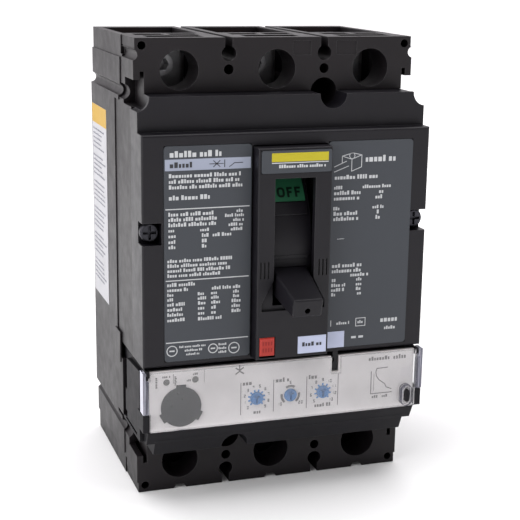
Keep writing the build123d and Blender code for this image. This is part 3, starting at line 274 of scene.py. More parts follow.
def clear_plastic(name, tint):
    """Thin clear cover: see-through, mirror-like at grazing angles, with painted bent light on its edges, ears and
    rim.
    """
    material, graph, shader = new_finish(name)
    tree = graph.tree
    tree.nodes.remove(shader)
    ripple = graph.bump(graph.noise(graph.millimetres(), 0.12, 2.0), 0.05, 0.25)
    through = graph.add("ShaderNodeBsdfTransparent", {"Color": tint}).outputs[0]
    glossy = {"Color": (1, 1, 1, 1), "Roughness": 0.06, "Normal": ripple}
    gloss = graph.add("ShaderNodeBsdfGlossy", glossy).outputs[0]
    grazing = graph.add("ShaderNodeFresnel", {"IOR": 1.5, "Normal": ripple}).outputs[0]
    surface = graph.add("ShaderNodeMixShader", {0: grazing, 1: through, 2: gloss}).outputs[0]
    place = graph.add("ShaderNodeSeparateXYZ", {0: graph.millimetres()})
    beside = graph.math("ABSOLUTE", place.outputs["X"])
    ear = graph.span(beside, EAR_START, EAR_START + 0.3, 0.0, 1.0)
    rim = seal_rim(graph, place)
    # Painted bent light: a dark loop on the sealing rim, and pale, streaked grey on the ears.
    tone = graph.mix(rim, ear_painted_light(graph, ear), (0.09, 0.09, 0.12, 1))
    painted_bent_light = graph.add("ShaderNodeBsdfDiffuse", {"Color": tone}).outputs[0]
    # Painted highlight: grey along the edges, over the ears and on the rim.
    along_edges = graph.math("MULTIPLY", graph.edges(CLEAR_EDGE), 0.45)
    amount = graph.math("MAXIMUM", along_edges, graph.math("MULTIPLY", ear, 0.72))
    amount = graph.math("MAXIMUM", amount, graph.math("MULTIPLY", rim, 0.7))
    with_painted_bent_light = graph.add("ShaderNodeMixShader", {0: amount, 1: surface, 2: painted_bent_light}).outputs[0]
    # Light for the panel behind passes almost unweakened.
    seen = graph.add("ShaderNodeLightPath").outputs["Is Shadow Ray"]
    open_air = graph.add("ShaderNodeBsdfTransparent", {"Color": (0.97, 0.97, 0.97, 1)}).outputs[0]
    both = graph.add("ShaderNodeMixShader", {0: seen, 1: with_painted_bent_light, 2: open_air}).outputs[0]
    tree.links.new(both, tree.nodes["Material Output"].inputs["Surface"])
    return material


# The reach darkens hollows with painted shade; the edge lightening is partly wear, partly a painted highlight.
FINISHES = {
    "case_black": molded("case_black", (0.0085, 0.0066, 0.0080), 0.44, 0.014, wear_and_highlight=0.35, reach=11.0),
    "cover_black": molded("cover_black", (0.0064, 0.0056, 0.0080), 0.40, 0.014, wear_and_highlight=0.35, reach=11.0),
    "unit_black": molded(
        "unit_black", (0.0100, 0.0095, 0.0115), 0.55, 0.014, wear_and_highlight=0.35, specular=0.13, reach=7.0
    ),
    "rotor_resin": molded("rotor_resin", (0.13, 0.035, 0.02), 0.5),
    "cassette_resin": molded("cassette_resin", (0.18, 0.16, 0.14), 0.55),
    "panel_light": molded("panel_light", (0.64, 0.605, 0.605), 0.5, 0.008, wear_and_highlight=0.15),
    "socket_grey": molded("socket_grey", (0.0155, 0.0150, 0.0195), 0.5, 0.015, wear_and_highlight=0.3),
    "transformer_black": molded("transformer_black", (0.012, 0.012, 0.014), 0.25, 0.01),
    "lamp_clear": molded("lamp_clear", (0.11, 0.105, 0.10), 0.3, 0.004, wear_and_highlight=0.2),
    "dial_blue": molded("dial_blue", (0.052, 0.175, 0.40), 0.35, 0.006, wear_and_highlight=0.3),
    "button_red": molded("button_red", (0.34, 0.030, 0.022), 0.36, 0.01, wear_and_highlight=0.25),
    "flag_green": printed("flag_green", (0.026, 0.14, 0.068), 0.45),
    "flag_red": printed("flag_red", (0.50, 0.03, 0.02), 0.45),
    "plate_grey": printed("plate_grey", (0.0445, 0.0490, 0.0570), 0.42, 0.10),
    "sticker_white": paper("sticker_white", (0.44, 0.475, 0.62, 1)),
    "label_stock": paper("label_stock", (0.425, 0.425, 0.445, 1)),
    "board_green": printed("board_green", (0.02, 0.12, 0.04), 0.3),
    "steel": brushed("steel", (0.42, 0.42, 0.43), 0.35),
    "screw_dark": brushed("screw_dark", (0.045, 0.045, 0.052), 0.42),
    "copper": brushed("copper", (0.72, 0.34, 0.20), 0.3, (0.06, 1.0, 1.0)),
    "silver": brushed("silver", (0.72, 0.71, 0.68), 0.28),
    "lug_aluminium": brushed("lug_aluminium", (0.36, 0.36, 0.37), 0.46, (1.0, 0.06, 1.0)),
    "clear": clear_plastic("clear", (0.955, 0.96, 0.965, 1)),
}
INKS = {
    "white_ink": printed("white_ink", (0.47, 0.48, 0.49), 0.5),
    "strip_ink": printed("strip_ink", (0.285, 0.31, 0.385), 0.5),
    "yellow_ink": printed("yellow_ink", (0.42, 0.36, 0.018), 0.45),
    "label_yellow": printed("label_yellow", (0.45, 0.275, 0.036), 0.5),
    "dark_ink": printed("dark_ink", (0.035, 0.035, 0.04), 0.5),
    "grey_ink": printed("grey_ink", (0.15, 0.14, 0.14), 0.5),
    "faint_ink": printed("faint_ink", (0.60, 0.565, 0.575), 0.5),
    "label_ink": printed("label_ink", (0.20, 0.20, 0.23), 0.5),
    "blue_ink": printed("blue_ink", (0.07, 0.22, 0.50), 0.45),
    "dark_red_ink": printed("dark_red_ink", (0.22, 0.015, 0.012), 0.45),
    "flag_ink": printed("flag_ink", (0.003, 0.010, 0.006), 0.45),
}


def finish_cad_nodes():
    """Gives every CAD node the finish of its material slot."""
    for part in frame["record"]["subparts"]:
        slots = frame["nodes"][part["node"]].data.materials
        slots.clear()
        slots.append(FINISHES[part["material_slot"]])


# ---------------------------------------------------------------- flat marks

class Marks:
    """Thin solid marks on one surface: each shape is a closed slab of ink."""

    def __init__(self, place):
        self.mesh = bmesh.new()
        self.place = place

    def point(self, across, up, height):
        return self.mesh.verts.new([part * MM for part in self.place(across, up, height)])

    def band(self, first, second, closed=False):
        """Slab between two edges that have the same number of points."""
        rings = []
        for height in (-INK_SINK, INK_LIFT):
            rings.append([[self.point(*spot, height) for spot in edge] for edge in (first, second)])
        (low_a, low_b), (high_a, high_b) = rings
        count = len(first)
        for here in range(count if closed else count - 1):
            after = (here + 1) % count
            self.mesh.faces.new((high_a[here], high_a[after], high_b[after], high_b[here]))
            self.mesh.faces.new((low_a[here], low_b[here], low_b[after], low_a[after]))
            self.mesh.faces.new((low_a[here], low_a[after], high_a[after], high_a[here]))
            self.mesh.faces.new((low_b[here], high_b[here], high_b[after], low_b[after]))
        if not closed:
            for end in (0, count - 1):
                self.mesh.faces.new((low_a[end], high_a[end], high_b[end], low_b[end]))

    def bar(self, left, right, low, high):
        """Upright rectangle."""
        self.band([(left, low), (right, low)], [(left, high), (right, high)])

    def stroke(self, points, width, closed=False):
        """Line of one width through the points, mitred at its corners."""
        first, second = [], []
        for number, (across, up) in enumerate(points):
            at_end = not closed and number == len(points) - 1
            before = points[number - 1] if closed or number else points[number]
            after = points[number] if at_end else points[(number + 1) % len(points)]
            turn = [direction(before, (across, up)), direction((across, up), after)]
            turn = [step for step in turn if step]
            mean = direction((0, 0), (sum(s[0] for s in turn), sum(s[1] for s in turn)))
            reach = width / 2 / (mean[0] * turn[0][0] + mean[1] * turn[0][1])
            first.append((across - mean[1] * reach, up + mean[0] * reach))
            second.append((across + mean[1] * reach, up - mean[0] * reach))
        self.band(first, second, closed)

    def arc(self, across, up, radius, width, start=0.0, end=360.0, steps=24):
        """Arc of a circle, or a whole ring."""
        closed = abs(end - start) >= 360
        count = steps if closed else steps + 1
        turns = [radians(start + (end - start) * step / steps) for step in range(count)]
        self.stroke([(across + radius * cos(t), up + radius * sin(t)) for t in turns], width, closed)

    def row(self, left, right, level, height, luck, upright=False):
        """A row of plain blocks in word-like groups, with nothing to read."""
        at = left
        letters = luck.randint(3, 8)
        while at < right - 0.3 * height:
            wide = height * luck.choice((0.42, 0.52, 0.62))
            tall = height * luck.choice((0.68, 0.72, 1.0))
            stop = min(at + wide, right)
            if upright:
                self.bar(level - height / 2, level - height / 2 + tall, at, stop)
            else:
                self.bar(at, stop, level - height / 2, level - height / 2 + tall)
            letters -= 1
            at = stop + height * (0.2 if letters else 0.6)
            if not letters:
                letters = luck.randint(3, 8)

    def finish(self, name, body, ink):
        """Writes the marks as one piece that rides on a body."""
        bmesh.ops.recalc_face_normals(self.mesh, faces=self.mesh.faces)
        data = bpy.data.meshes.new(name)
        self.mesh.to_mesh(data)
        self.mesh.free()
        data.materials.append(INKS[ink])
        piece = bpy.data.objects.new(name, data)
        bpy.context.scene.collection.objects.link(piece)
        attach(piece, body)
        return piece


def direction(start, end):
    """Unit step from one point to another, or nothing when they are the same."""
    length = hypot(end[0] - start[0], end[1] - start[1])
    if length < 1e-9:
        return None
    return ((end[0] - start[0]) / length, (end[1] - start[1]) / length)


def corners(node):
    """Lowest and highest corner of a CAD node in millimetres."""
    low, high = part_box(node)
    return low / MM, high / MM


def on_front(node):
    """Places marks on the front of a flat node, from its upper left corner down."""
    low, high = corners(node)
    return lambda across, up, height: (low.x + across, low.y - height, high.z + up)


def on_depth(depth):
    """Places marks on an upright plane at a depth, in the object's own X and Z."""
    return lambda across, up, height: (across, depth - height, up)


def on_left(node):
    """Places marks on a node of the left flank, from its upper rear corner down."""
    low, high = corners(node)
    return lambda across, up, height: (low.x - height, high.y - across, high.z + up)


# ---------------------------------------------------------------- rating plates

# Each row of blocks: left edge, right edge and distance down the plate, then its height.
LEFT_ROWS = [
    (2.0, 19.8, 2.7, 2.1), (1.7, 27.2, 9.9, 1.35), (1.7, 26.5, 11.8, 1.35), (1.7, 28.3, 13.7, 1.35),
    (1.7, 15.9, 17.3, 1.6),
    (1.5, 17.1, 22.9, 1.35), (1.5, 18.5, 24.7, 1.35), (1.5, 18.0, 26.5, 1.35),
    (25.3, 27.9, 22.6, 1.1), (21.2, 27.9, 24.1, 1.1), (24.1, 27.9, 25.7, 1.1), (22.5, 27.9, 27.3, 1.1),
    (23.3, 27.9, 28.9, 1.1),
    (1.5, 3.6, 28.4, 1.1), (12.5, 15.8, 28.6, 1.1), (1.5, 4.3, 30.3, 1.25), (13.1, 15.9, 30.5, 1.25),
    (16.9, 23.6, 30.5, 1.25), (1.5, 4.1, 32.3, 1.25), (13.1, 15.2, 32.4, 1.25), (1.5, 4.1, 34.1, 1.25),
    (13.1, 15.2, 34.2, 1.25),
    (1.1, 23.8, 38.9, 1.2), (1.1, 22.3, 40.6, 1.2), (1.1, 23.3, 42.3, 1.2), (1.1, 19.9, 44.0, 1.2),
    (1.0, 10.7, 47.2, 1.3), (1.0, 8.2, 49.0, 1.2), (16.7, 26.9, 49.2, 1.2),
    (1.0, 3.1, 50.7, 1.1), (11.7, 14.2, 50.9, 1.1), (16.4, 18.5, 50.9, 1.1), (24.3, 26.9, 50.9, 1.1),
    (1.0, 3.0, 52.4, 1.1), (11.7, 15.0, 52.5, 1.1), (16.4, 19.6, 52.5, 1.1), (24.3, 26.9, 52.5, 1.1),
    (1.0, 7.1, 54.1, 1.2), (11.8, 14.4, 54.2, 1.2), (16.5, 19.6, 54.2, 1.2), (23.8, 27.0, 54.2, 1.2),
    (1.0, 7.1, 55.9, 1.2), (11.8, 14.0, 56.0, 1.2), (16.5, 18.7, 56.0, 1.2), (23.8, 27.0, 56.0, 1.2),
    (1.0, 7.1, 57.7, 1.2), (11.8, 14.0, 57.8, 1.2), (16.5, 18.7, 57.8, 1.2), (23.8, 27.0, 57.8, 1.2),
    (1.0, 7.1, 59.6, 1.2), (11.8, 20.4, 59.8, 1.2),
    (5.2, 14.5, 69.4, 0.8), (7.1, 13.4, 70.8, 0.8), (7.6, 12.3, 72.2, 0.8),
    (19.2, 22.0, 69.6, 0.8), (19.2, 22.0, 71.0, 0.8), (19.2, 22.0, 72.4, 0.8),
]
# Distances down of the rules, then across, down and radius of each ring.
LEFT_RULES = (21.2, 45.8, 67.7)
LEFT_RINGS = ((2.6, 70.7, 1.8), (17.2, 70.9, 1.6), (24.8, 71.3, 1.9))
# Top and bottom of the light strip.
STRIP = (4.4, 8.2)
RIGHT_ROWS = [
    (13.7, 26.0, 6.4, 2.2), (2.3, 18.4, 12.6, 1.5),
    (2.2, 5.5, 16.2, 1.2), (12.9, 23.6, 16.2, 1.2), (2.2, 12.5, 18.1, 1.4), (19.2, 21.2, 18.1, 1.4),
    (2.2, 12.2, 20.0, 1.4), (17.9, 20.4, 20.0, 1.4),
    (2.1, 4.9, 23.6, 1.2), (16.9, 21.1, 23.6, 1.2), (2.2, 11.4, 25.4, 1.4), (18.6, 19.8, 25.4, 1.4),
    (2.2, 11.7, 27.3, 1.4), (18.2, 20.1, 27.3, 1.4), (3.8, 6.6, 34.5, 0.3),
    (2.2, 13.4, 44.2, 1.4), (2.2, 13.2, 46.1, 1.4), (9.3, 16.1, 47.8, 1.3),
    (2.3, 4.0, 49.5, 1.1), (11.6, 13.9, 49.5, 1.2), (2.1, 7.4, 51.3, 1.2), (11.5, 13.8, 51.3, 1.2),
    (2.1, 7.5, 53.0, 1.2), (11.6, 13.4, 53.0, 1.2), (2.2, 3.9, 54.7, 1.2), (12.1, 13.8, 54.7, 1.2),
    (4.5, 9.4, 65.4, 1.1), (21.6, 28.1, 65.3, 1.9), (23.2, 27.9, 68.5, 1.2),
]


def left_plate_marks():
    """Rules, rows and rings of the left plate, with its light strip and switch symbol."""
    low, high = corners("left_rating_plate")
    wide = high.x - low.x
    luck = random.Random(11)
    place = on_front("left_rating_plate")
    marks = Marks(place)
    for left, right, down, height in LEFT_ROWS:
        marks.row(left, right, -down, height, luck)
    for down in LEFT_RULES:
        marks.bar(0.5, wide - 0.6, -down - 0.17, -down + 0.17)
    for across, down, radius in LEFT_RINGS:
        marks.arc(across, -down, radius, 0.32)
        marks.bar(across - 0.5 * radius, across + 0.5 * radius, -down - 0.25, -down + 0.25)
    marks.finish("left_plate_print", "case", "white_ink")
    strip = Marks(place)
    strip.bar(0.35, wide - 0.35, -STRIP[1], -STRIP[0])
    strip.finish("left_plate_strip", "case", "strip_ink")
    # Dark print lies on top of the strip.
    dark = Marks(lambda across, up, height: place(across, up, height + INK_LIFT))
    level = -(STRIP[0] + STRIP[1]) / 2
    dark.row(2.0, 10.2, level, 1.9, luck)
    dark.bar(15.6, 20.6, level - 0.12, level + 0.12)
    dark.stroke([(17.0, level + 1.1), (19.4, level - 1.1)], 0.28)
    dark.stroke([(17.0, level - 1.1), (19.4, level + 1.1)], 0.28)
    dark.bar(20.8, 21.1, level - 1.3, level + 1.3)
    dark.stroke([(22.6, level - 1.2), (24.4, level + 0.1), (27.4, level + 0.1)], 0.26)
    dark.finish("left_plate_dark_print", "case", "dark_ink")


def right_plate_marks():
    """Rows, lug pictogram and symbols of the right plate."""
    luck = random.Random(23)
    marks = Marks(on_front("right_rating_plate"))
    for left, right, down, height in RIGHT_ROWS:
        marks.row(left, right, -down, height, luck)
    # Lug pictogram: a box seen from a corner, with the conductor going in.
    for line in (
        [(4.9, -7.6), (4.9, -5.2), (8.9, -4.2), (12.2, -5.0), (12.2, -9.2), (8.5, -10.6), (8.5, -6.4)],
        [(4.9, -5.2), (8.5, -6.4), (12.2, -5.0)],
        [(2.0, -8.9), (6.6, -7.0)],
        [(2.0, -10.7), (7.4, -8.7)],
    ):
        marks.stroke(line, 0.24)
    marks.arc(8.6, -5.2, 1.0, 0.2)
    marks.stroke([(12.0, -67.0), (15.6, -67.0), (15.6, -64.1), (12.0, -64.1)], 0.25, closed=True)
    marks.row(12.7, 15.0, -65.5, 1.1, luck)
    marks.bar(2.2, 2.5, -66.4, -64.2)
    # Two plain dashes where an approval mark would be.
    marks.bar(10.4, 12.2, -71.5, -70.7)
    marks.bar(13.2, 15.0, -71.5, -70.7)
    marks.finish("right_plate_print", "case", "white_ink")


def nameplate_marks():
    """Plain yellow band and a thin light row on the nameplate strip."""
    luck = random.Random(5)
    left, right = 3.5, 23.9
    band = Marks(on_front("nameplate_strip"))
    band.bar(left, right, -3.8, -0.85)
    band.finish("nameplate_band", "case", "yellow_ink")
    row = Marks(on_front("nameplate_strip"))
    row.bar(left, right, -4.35, -4.05)
    row.row(6.1, 23.3, -5.35, 1.15, luck)
    row.finish("nameplate_row", "case", "white_ink")


def sticker_marks():
    """A short dark row on the rating sticker."""
    luck = random.Random(3)
    low, _ = corners("rating_stickers")
    marks = Marks(on_depth(low.y))
    marks.row(3.6, 10.8, low.z + 4.1, 1.5, luck)
    marks.finish("sticker_print", "case", "dark_ink")


# Flank label: height of its head, then place, pitch and grouping of its rows.
LABEL_HEAD = 7.1
LABEL_FIRST_ROW = 9.4
LABEL_PITCH = 1.75
LABEL_GROUP = 5
LABEL_GAP = 1.6
LABEL_FOOT = 4


def side_label_marks():
    """Plain yellow head and grey rows of the flank label."""
    luck = random.Random(7)
    low, high = corners("side_label")
    wide = high.y - low.y
    tall = high.z - low.z
    head = Marks(on_left("side_label"))
    head.bar(0.0, wide, -LABEL_HEAD, -0.02)
    head.finish("side_label_head", "case", "label_yellow")
    rows = Marks(on_left("side_label"))
    down = LABEL_FIRST_ROW
    while down < tall - LABEL_FOOT:
        for _ in range(LABEL_GROUP):
            rows.row(1.6, wide - 2.0 - luck.random() * 8, -down, 0.75, luck)
            down += LABEL_PITCH
        down += LABEL_GAP
    rows.finish("side_label_print", "case", "label_ink")


# ---------------------------------------------------------------- handle flags and button

def letter_o(marks, across, up, wide, tall, width):
    """Rounded capital O in a cell."""
    half_w, half_t = (wide - width) / 2, (tall - width) / 2
    ring = []
    for step in range(24):
        turn = 2 * pi * step / 24
        side = copysign(abs(cos(turn)) ** 0.7, cos(turn))
        rise = copysign(abs(sin(turn)) ** 0.7, sin(turn))
        ring.append((across + half_w * side, up + half_t * rise))
    marks.stroke(ring, width, closed=True)


def post(marks, left, right, low, high, lean=0.0):
    """Bar that follows a curved surface; its far end may sit lower by the lean."""
    steps = [step / LETTER_STEPS for step in range(LETTER_STEPS + 1)]
    if lean:
        edges = [[(left + (right - left) * t, start - lean * t) for t in steps] for start in (low, high)]
    else:
        edges = [[(side, low + (high - low) * t) for t in steps] for side in (left, right)]
    marks.band(*edges)


def letter_f(marks, left, up, wide, tall, width):
    """Capital F from its left edge."""
    top, low = up + tall / 2, up - tall / 2
    post(marks, left, left + width, low, top)
    marks.bar(left + width, left + wide, top - width, top)
    marks.bar(left + width, left + 0.85 * wide, up - width / 2, up + width / 2)


def letter_n(marks, left, up, wide, tall, width):
    """Capital N from its left edge."""
    top, low, right = up + tall / 2, up - tall / 2, left + wide
    slanted = 1.8 * width
    post(marks, left, left + width, low, top)
    post(marks, right - width, right, low, top)
    post(marks, left + width, right - width, top - slanted, top, tall - slanted)


def flag_place(node):
    """Places marks on a curved flag: across in X, up along the arc from its middle."""
    pivot = next(j for j in frame["joints"] if j["name"] == "handle_pivot")["pos_m"]
    axis_y, axis_z = pivot[1] / MM, pivot[2] / MM
    points = [v.co / MM for v in frame["nodes"][node].data.vertices]
    radius = max(hypot(p.y - axis_y, p.z - axis_z) for p in points)
    turns = [atan2(p.z - axis_z, axis_y - p.y) for p in points]
    middle = (min(turns) + max(turns)) / 2

    def place(across, up, height):
        turn = middle + up / radius
        reach = radius + height
        return across, axis_y - reach * cos(turn), axis_z + reach * sin(turn)

    return place


def flag_marks():
    """Position words on the handle's two flags."""
    off = Marks(flag_place("off_flag"))
    letter_o(off, -1.6, -2.7, 2.9, 3.8, 0.8)
    letter_f(off, 0.6, -2.7, 2.1, 3.8, 0.8)
    letter_f(off, 3.5, -2.7, 2.2, 3.8, 0.8)
    off.finish("off_flag_mark", "handle", "flag_ink")
    on = Marks(flag_place("on_flag"))
    letter_o(on, -2.4, 0.0, 3.7, 5.0, 0.85)
    letter_n(on, 0.9, 0.0, 3.5, 5.0, 0.85)
    on.finish("on_flag_mark", "handle", "white_ink")


def button_marks():
    """Two rows of short dark bars on the trip button."""
    low, high = corners("trip_button")
    middle = (low.x + high.x) / 2
    rise = (low.z + high.z) / 2
    half = 0.28
    marks = Marks(on_depth(low.y))
    for across in (-1.5, -0.5, 0.5, 1.5):
        marks.bar(middle + across - half, middle + across + half, rise + 0.5, rise + 1.9)
        marks.bar(middle + across - half, middle + across + half, rise - 1.9, rise - 0.4)
    marks.finish("trip_button_mark", "trip_button", "dark_red_ink")


# ---------------------------------------------------------------- trip unit panel

# Distances from a dial's middle to both ends of its ticks and to its numbers.
DIAL_RADII = (2.4, 3.25, 4.6)
DIGIT_TALL = 1.15
# Distance from the outer side of each lamp to its middle.
LAMP_INSET = 1.15
# The tripping curve, from its long-time end to its short-time end.
TRIP_CURVE = (
    (39.6, 6.9), (35.3, 6.8), (34.9, 5.4), (35.2, 3.9), (36.2, 2.4), (38.6, 0.6), (39.2, -0.7), (41.4, -1.6),
)
SEGMENTS = {
    "0": "abcdef", "1": "bc", "2": "abged", "3": "abgcd", "4": "fgbc",
    "5": "afgcd", "6": "afgedc", "7": "abc", "8": "abcdefg", "9": "abcdfg",
}


def digits(marks, text, across, up, tall):
    """Plain seven-bar digits centred on a point."""
    wide, thick = 0.55 * tall, 0.17 * tall
    pitch = wide + 0.3 * tall
    left = across - pitch * (len(text) - 1) / 2 - wide / 2
    for character in text:
        right, top, low = left + wide, up + tall / 2, up - tall / 2
        bars = {
            "a": (left, right, top - thick, top),
            "b": (right - thick, right, up + thick / 2, top - thick),
            "c": (right - thick, right, low + thick, up - thick / 2),
            "d": (left, right, low, low + thick),
            "e": (left, left + thick, low + thick, up - thick / 2),
            "f": (left, left + thick, up + thick / 2, top - thick),
            "g": (left, right, up - thick / 2, up + thick / 2),
        }
        for segment in SEGMENTS[character]:
            marks.bar(*bars[segment])
        left += pitch


def dial_centre(node):
    """Middle of a dial, across and up."""
    low, high = corners(node)
    return (low.x + high.x) / 2, (low.z + high.z) / 2


def dial_scale(ticks, figures, node, labels, start, end):
    """Ticks round a dial with a number at each."""
    across, up = dial_centre(node)
    for number, label in enumerate(labels):
        turn = radians(start + (end - start) * number / (len(labels) - 1))
        near, far, out = [(across + r * cos(turn), up + r * sin(turn)) for r in DIAL_RADII]
        ticks.stroke([near, far], 0.62)
        digits(figures, label, *out, DIGIT_TALL)


def dial_marks(lines, ticks, figures, luck):
    """Rules between the dials, their rows of print and their scales."""
    current, grade, instant = (dial_centre(name) for name in ("current_dial", "class_dial", "instant_dial"))
    level = current[1]
    between = [(current[0] + grade[0]) / 2, (grade[0] + instant[0]) / 2]
    for across in (current[0] - 5.9, *between, instant[0] + 5.9):
        lines.bar(across - 0.14, across + 0.14, level - 5.7, level + 6.3)
    for dial, left, right in ((current, -5.2, -1.2), (grade, -5.6, -0.6), (instant, -5.5, -2.4)):
        lines.row(dial[0] + left, dial[0] + right, level + 6.0, 1.6, luck)
    lines.row(current[0] - 1.1, current[0] + 1.5, level - 5.1, 1.4, luck)
    lines.row(instant[0] - 3.0, instant[0] + 3.1, level - 5.0, 1.4, luck)
    dial_scale(ticks, figures, "current_dial", "0 1 2 3 4 5 6 7 8 9".split(), 225, -45)
    dial_scale(ticks, figures, "instant_dial", "5 6 7 8 9 10 11 12 13".split(), 225, -45)
    for middle, label, nudge in ((90, "5", 0.0), (222, "10", -0.3), (-42, "20", 0.3)):
        turn = radians(middle)
        digits(figures, label, grade[0] + 4.9 * cos(turn) + nudge, grade[1] + 4.7 * sin(turn), DIGIT_TALL)
    for middle in (90, 200, -20):
        lines.arc(*grade, 3.3, 0.85, middle - 30, middle + 30, steps=8)


def lamp_marks(lines, luck):
    """Rows and rules round the two lamps."""
    low, high = corners("status_lamps")
    first, second = low.x + LAMP_INSET, high.x - LAMP_INSET
    height = (low.z + high.z) / 2
    lines.row(first - 1.5, first + 1.7, height + 2.1, 1.0, luck)
    lines.row(height - 1.9, height + 2.0, first - 3.5, 0.9, luck, upright=True)
    lines.bar(first + 2.3, first + 2.5, height - 0.7, height + 2.8)
    lines.row(height - 1.4, height + 2.2, first + 3.2, 0.8, luck, upright=True)
    lines.row(second - 0.9, second + 0.9, height + 2.2, 0.8, luck)
    lines.row(second - 3.1, second - 1.6, height, 0.8, luck)
    lines.bar(second + 3.1, second + 3.25, height - 1.3, height + 3.5)


def adjusting_symbol(lines, across, up):
    """Three spokes over an arrowhead."""
    for aside, above in ((-1.5, 1.0), (1.5, 1.0), (0.0, 1.9)):
        lines.stroke([(across, up), (across + aside, up + above)], 0.5)
    lines.stroke([(across - 1.6, up - 1.4), (across, up - 0.3), (across + 1.6, up - 1.4)], 0.5)


def curve_marks(lines, level, luck):
    """Name row, and the tripping curve between its axes with a row below each part."""
    lines.row(31.9, 40.4, level + 10.7, 1.5, luck)
    lines.row(41.7, 46.8, level + 10.7, 1.7, luck)
    lines.stroke([(33.1, level + 5.9), (33.1, level - 2.8), (41.6, level - 2.8)], 0.34)
    lines.stroke([(34.2, level + 4.9), (34.2, level - 1.8)], 0.16)
    lines.stroke([(across, level + up) for across, up in TRIP_CURVE], 0.34)
    lines.row(33.6, 36.0, level - 4.0, 1.1, luck)
    lines.row(37.6, 40.0, level - 4.0, 1.1, luck)


def panel_marks():
    """Print of the trip unit's panel."""
    luck = random.Random(31)
    face = corners("trip_panel")[0].y
    across, level = dial_centre("current_dial")
    lines = Marks(on_depth(face))
    ticks = Marks(on_depth(face))
    figures = Marks(on_depth(face))
    dial_marks(lines, ticks, figures, luck)
    lamp_marks(lines, luck)
    adjusting_symbol(lines, across - 6.4, level + 11.0)
    curve_marks(lines, level, luck)
    lines.finish("panel_print", "case", "grey_ink")
    ticks.finish("panel_dial_ticks", "case", "blue_ink")
    figures.finish("panel_dial_numbers", "case", "dark_ink")
    # Faint square at the right end.
    patch = Marks(on_depth(face))
    patch.bar(44.9, 48.7, level + 2.4, level + 6.4)
    patch.finish("panel_patch", "case", "faint_ink")


# ---------------------------------------------------------------- floor, light and camera

# Half of the floor's width in metres.
FLOOR_REACH = 30.0


def lay_floor():
    """Wide pale floor under the breaker."""
    bottom = CAD_BOX[0].z - 0.2 * MM
    turns = ((-1, -1), (1, -1), (1, 1), (-1, 1))
    rim = [(FLOOR_REACH * across, FLOOR_REACH * back, bottom) for across, back in turns]
    mesh = bpy.data.meshes.new("floor")
    mesh.from_pydata(rim, [], [(0, 1, 2, 3)])
    floor = bpy.data.objects.new("floor", mesh)
    bpy.context.scene.collection.objects.link(floor)
    material, graph, shader = new_finish("floor_paper")
    cloud = graph.noise(graph.millimetres(), 0.004, 3.0)
    tone = graph.mix(cloud, (0.86, 0.86, 0.86, 1), (0.90, 0.90, 0.90, 1))
    fill(graph, shader, Base_Color=tone, Roughness=graph.span(cloud, 0.3, 0.7, 0.75, 0.9))
    # Painted glow: the paper gives off light that grows with distance from the breaker, so it turns white beyond
    # the breaker's shadow.
    place = graph.add("ShaderNodeTexCoord").outputs["Object"]
    far = graph.add("ShaderNodeVectorMath", {0: place}, operation="LENGTH").outputs["Value"]
    fill(graph, shader, Emission_Color=(1, 1, 1, 1), Emission_Strength=graph.span(far, 0.10, 0.45, 0.0, 0.5))
    mesh.materials.append(material)


def soft_box(name, place, wide, tall, watts):
    """Rectangular white area light that faces the middle of the breaker."""
    data = bpy.data.lights.new(name, "AREA")
    data.shape = "RECTANGLE"
    data.size = wide
    data.size_y = tall
    data.energy = watts
    light = bpy.data.objects.new(name, data)
    light.location = place
    aim = (CAD_BOX[0] + CAD_BOX[1]) / 2 - Vector(place)
    light.rotation_euler = aim.to_track_quat("-Z", "Y").to_euler()
    bpy.context.scene.collection.objects.link(light)


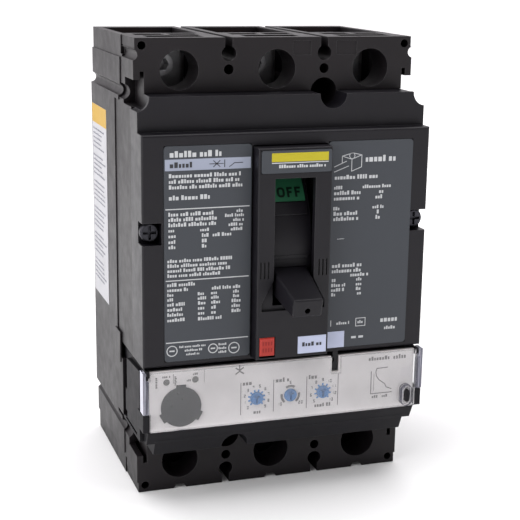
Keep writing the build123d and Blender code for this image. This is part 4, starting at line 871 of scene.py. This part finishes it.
def light_studio():
    """White room that is bright behind and dim in front, with three soft boxes."""
    world = bpy.data.worlds.new("studio")
    bpy.context.scene.world = world
    world.use_nodes = True
    graph = Graph(world.node_tree)
    back = world.node_tree.nodes["Background"]
    way = graph.add("ShaderNodeTexCoord").outputs["Generated"]
    split = graph.add("ShaderNodeSeparateXYZ", {0: way})
    toward_back = graph.span(split.outputs["Y"], -0.6, 0.7, 0.24, 1.0)
    toward_left = graph.span(split.outputs["X"], 0.0, -0.8, 0.0, 0.45)
    behind = graph.span(split.outputs["Y"], 0.0, 0.4, 0.0, 1.0)
    room = graph.math("ADD", toward_back, graph.math("MULTIPLY", toward_left, behind))
    seen = graph.add("ShaderNodeLightPath").outputs["Is Camera Ray"]
    strength = graph.add("ShaderNodeMix", {0: seen, 2: room, 3: 1.0}).outputs[0]
    graph.tree.links.new(strength, back.inputs["Strength"])
    back.inputs["Color"].default_value = (1.0, 0.965, 1.0, 1.0)
    soft_box("top_box", (0.0, 0.1, 1.1), 1.4, 1.2, 14.0)
    soft_box("left_box", (-1.0, -0.55, 0.45), 0.8, 1.0, 9.0)
    soft_box("right_box", (0.9, -0.9, 0.6), 0.5, 0.8, 3.0)


# Camera: turn to the left, rise and roll in degrees, and its distance from the target.
CAMERA_ANGLES = (18.54, 13.74, 0.83)
CAMERA_DISTANCE = 472.2
CAMERA_TARGET = (4.72, -40.0, -5.03)
CAMERA_LENS = 84.87


def set_camera():
    """Long lens, a little to the left of the front and above it."""
    turn, rise, roll = (radians(angle) for angle in CAMERA_ANGLES)
    target = Vector(CAMERA_TARGET) * MM
    forward = Vector((sin(turn) * cos(rise), cos(turn) * cos(rise), -sin(rise)))
    level = forward.cross(Vector((0, 0, 1))).normalized()
    above = level.cross(forward)
    right = level * cos(roll) + above * sin(roll)
    up = above * cos(roll) - level * sin(roll)
    data = bpy.data.cameras.new("camera")
    data.sensor_width = 36.0
    data.lens = CAMERA_LENS
    data.clip_start = 0.01
    data.clip_end = 100.0
    camera = bpy.data.objects.new("camera", data)
    axes = Matrix((right, up, -forward)).transposed()
    camera.matrix_world = Matrix.Translation(target - forward * CAMERA_DISTANCE * MM) @ axes.to_4x4()
    bpy.context.scene.collection.objects.link(camera)
    bpy.context.scene.camera = camera


finish_cad_nodes()
left_plate_marks()
right_plate_marks()
nameplate_marks()
sticker_marks()
side_label_marks()
flag_marks()
button_marks()
panel_marks()
lay_floor()
light_studio()
set_camera()
bpy.context.scene.view_settings.view_transform = "Standard"
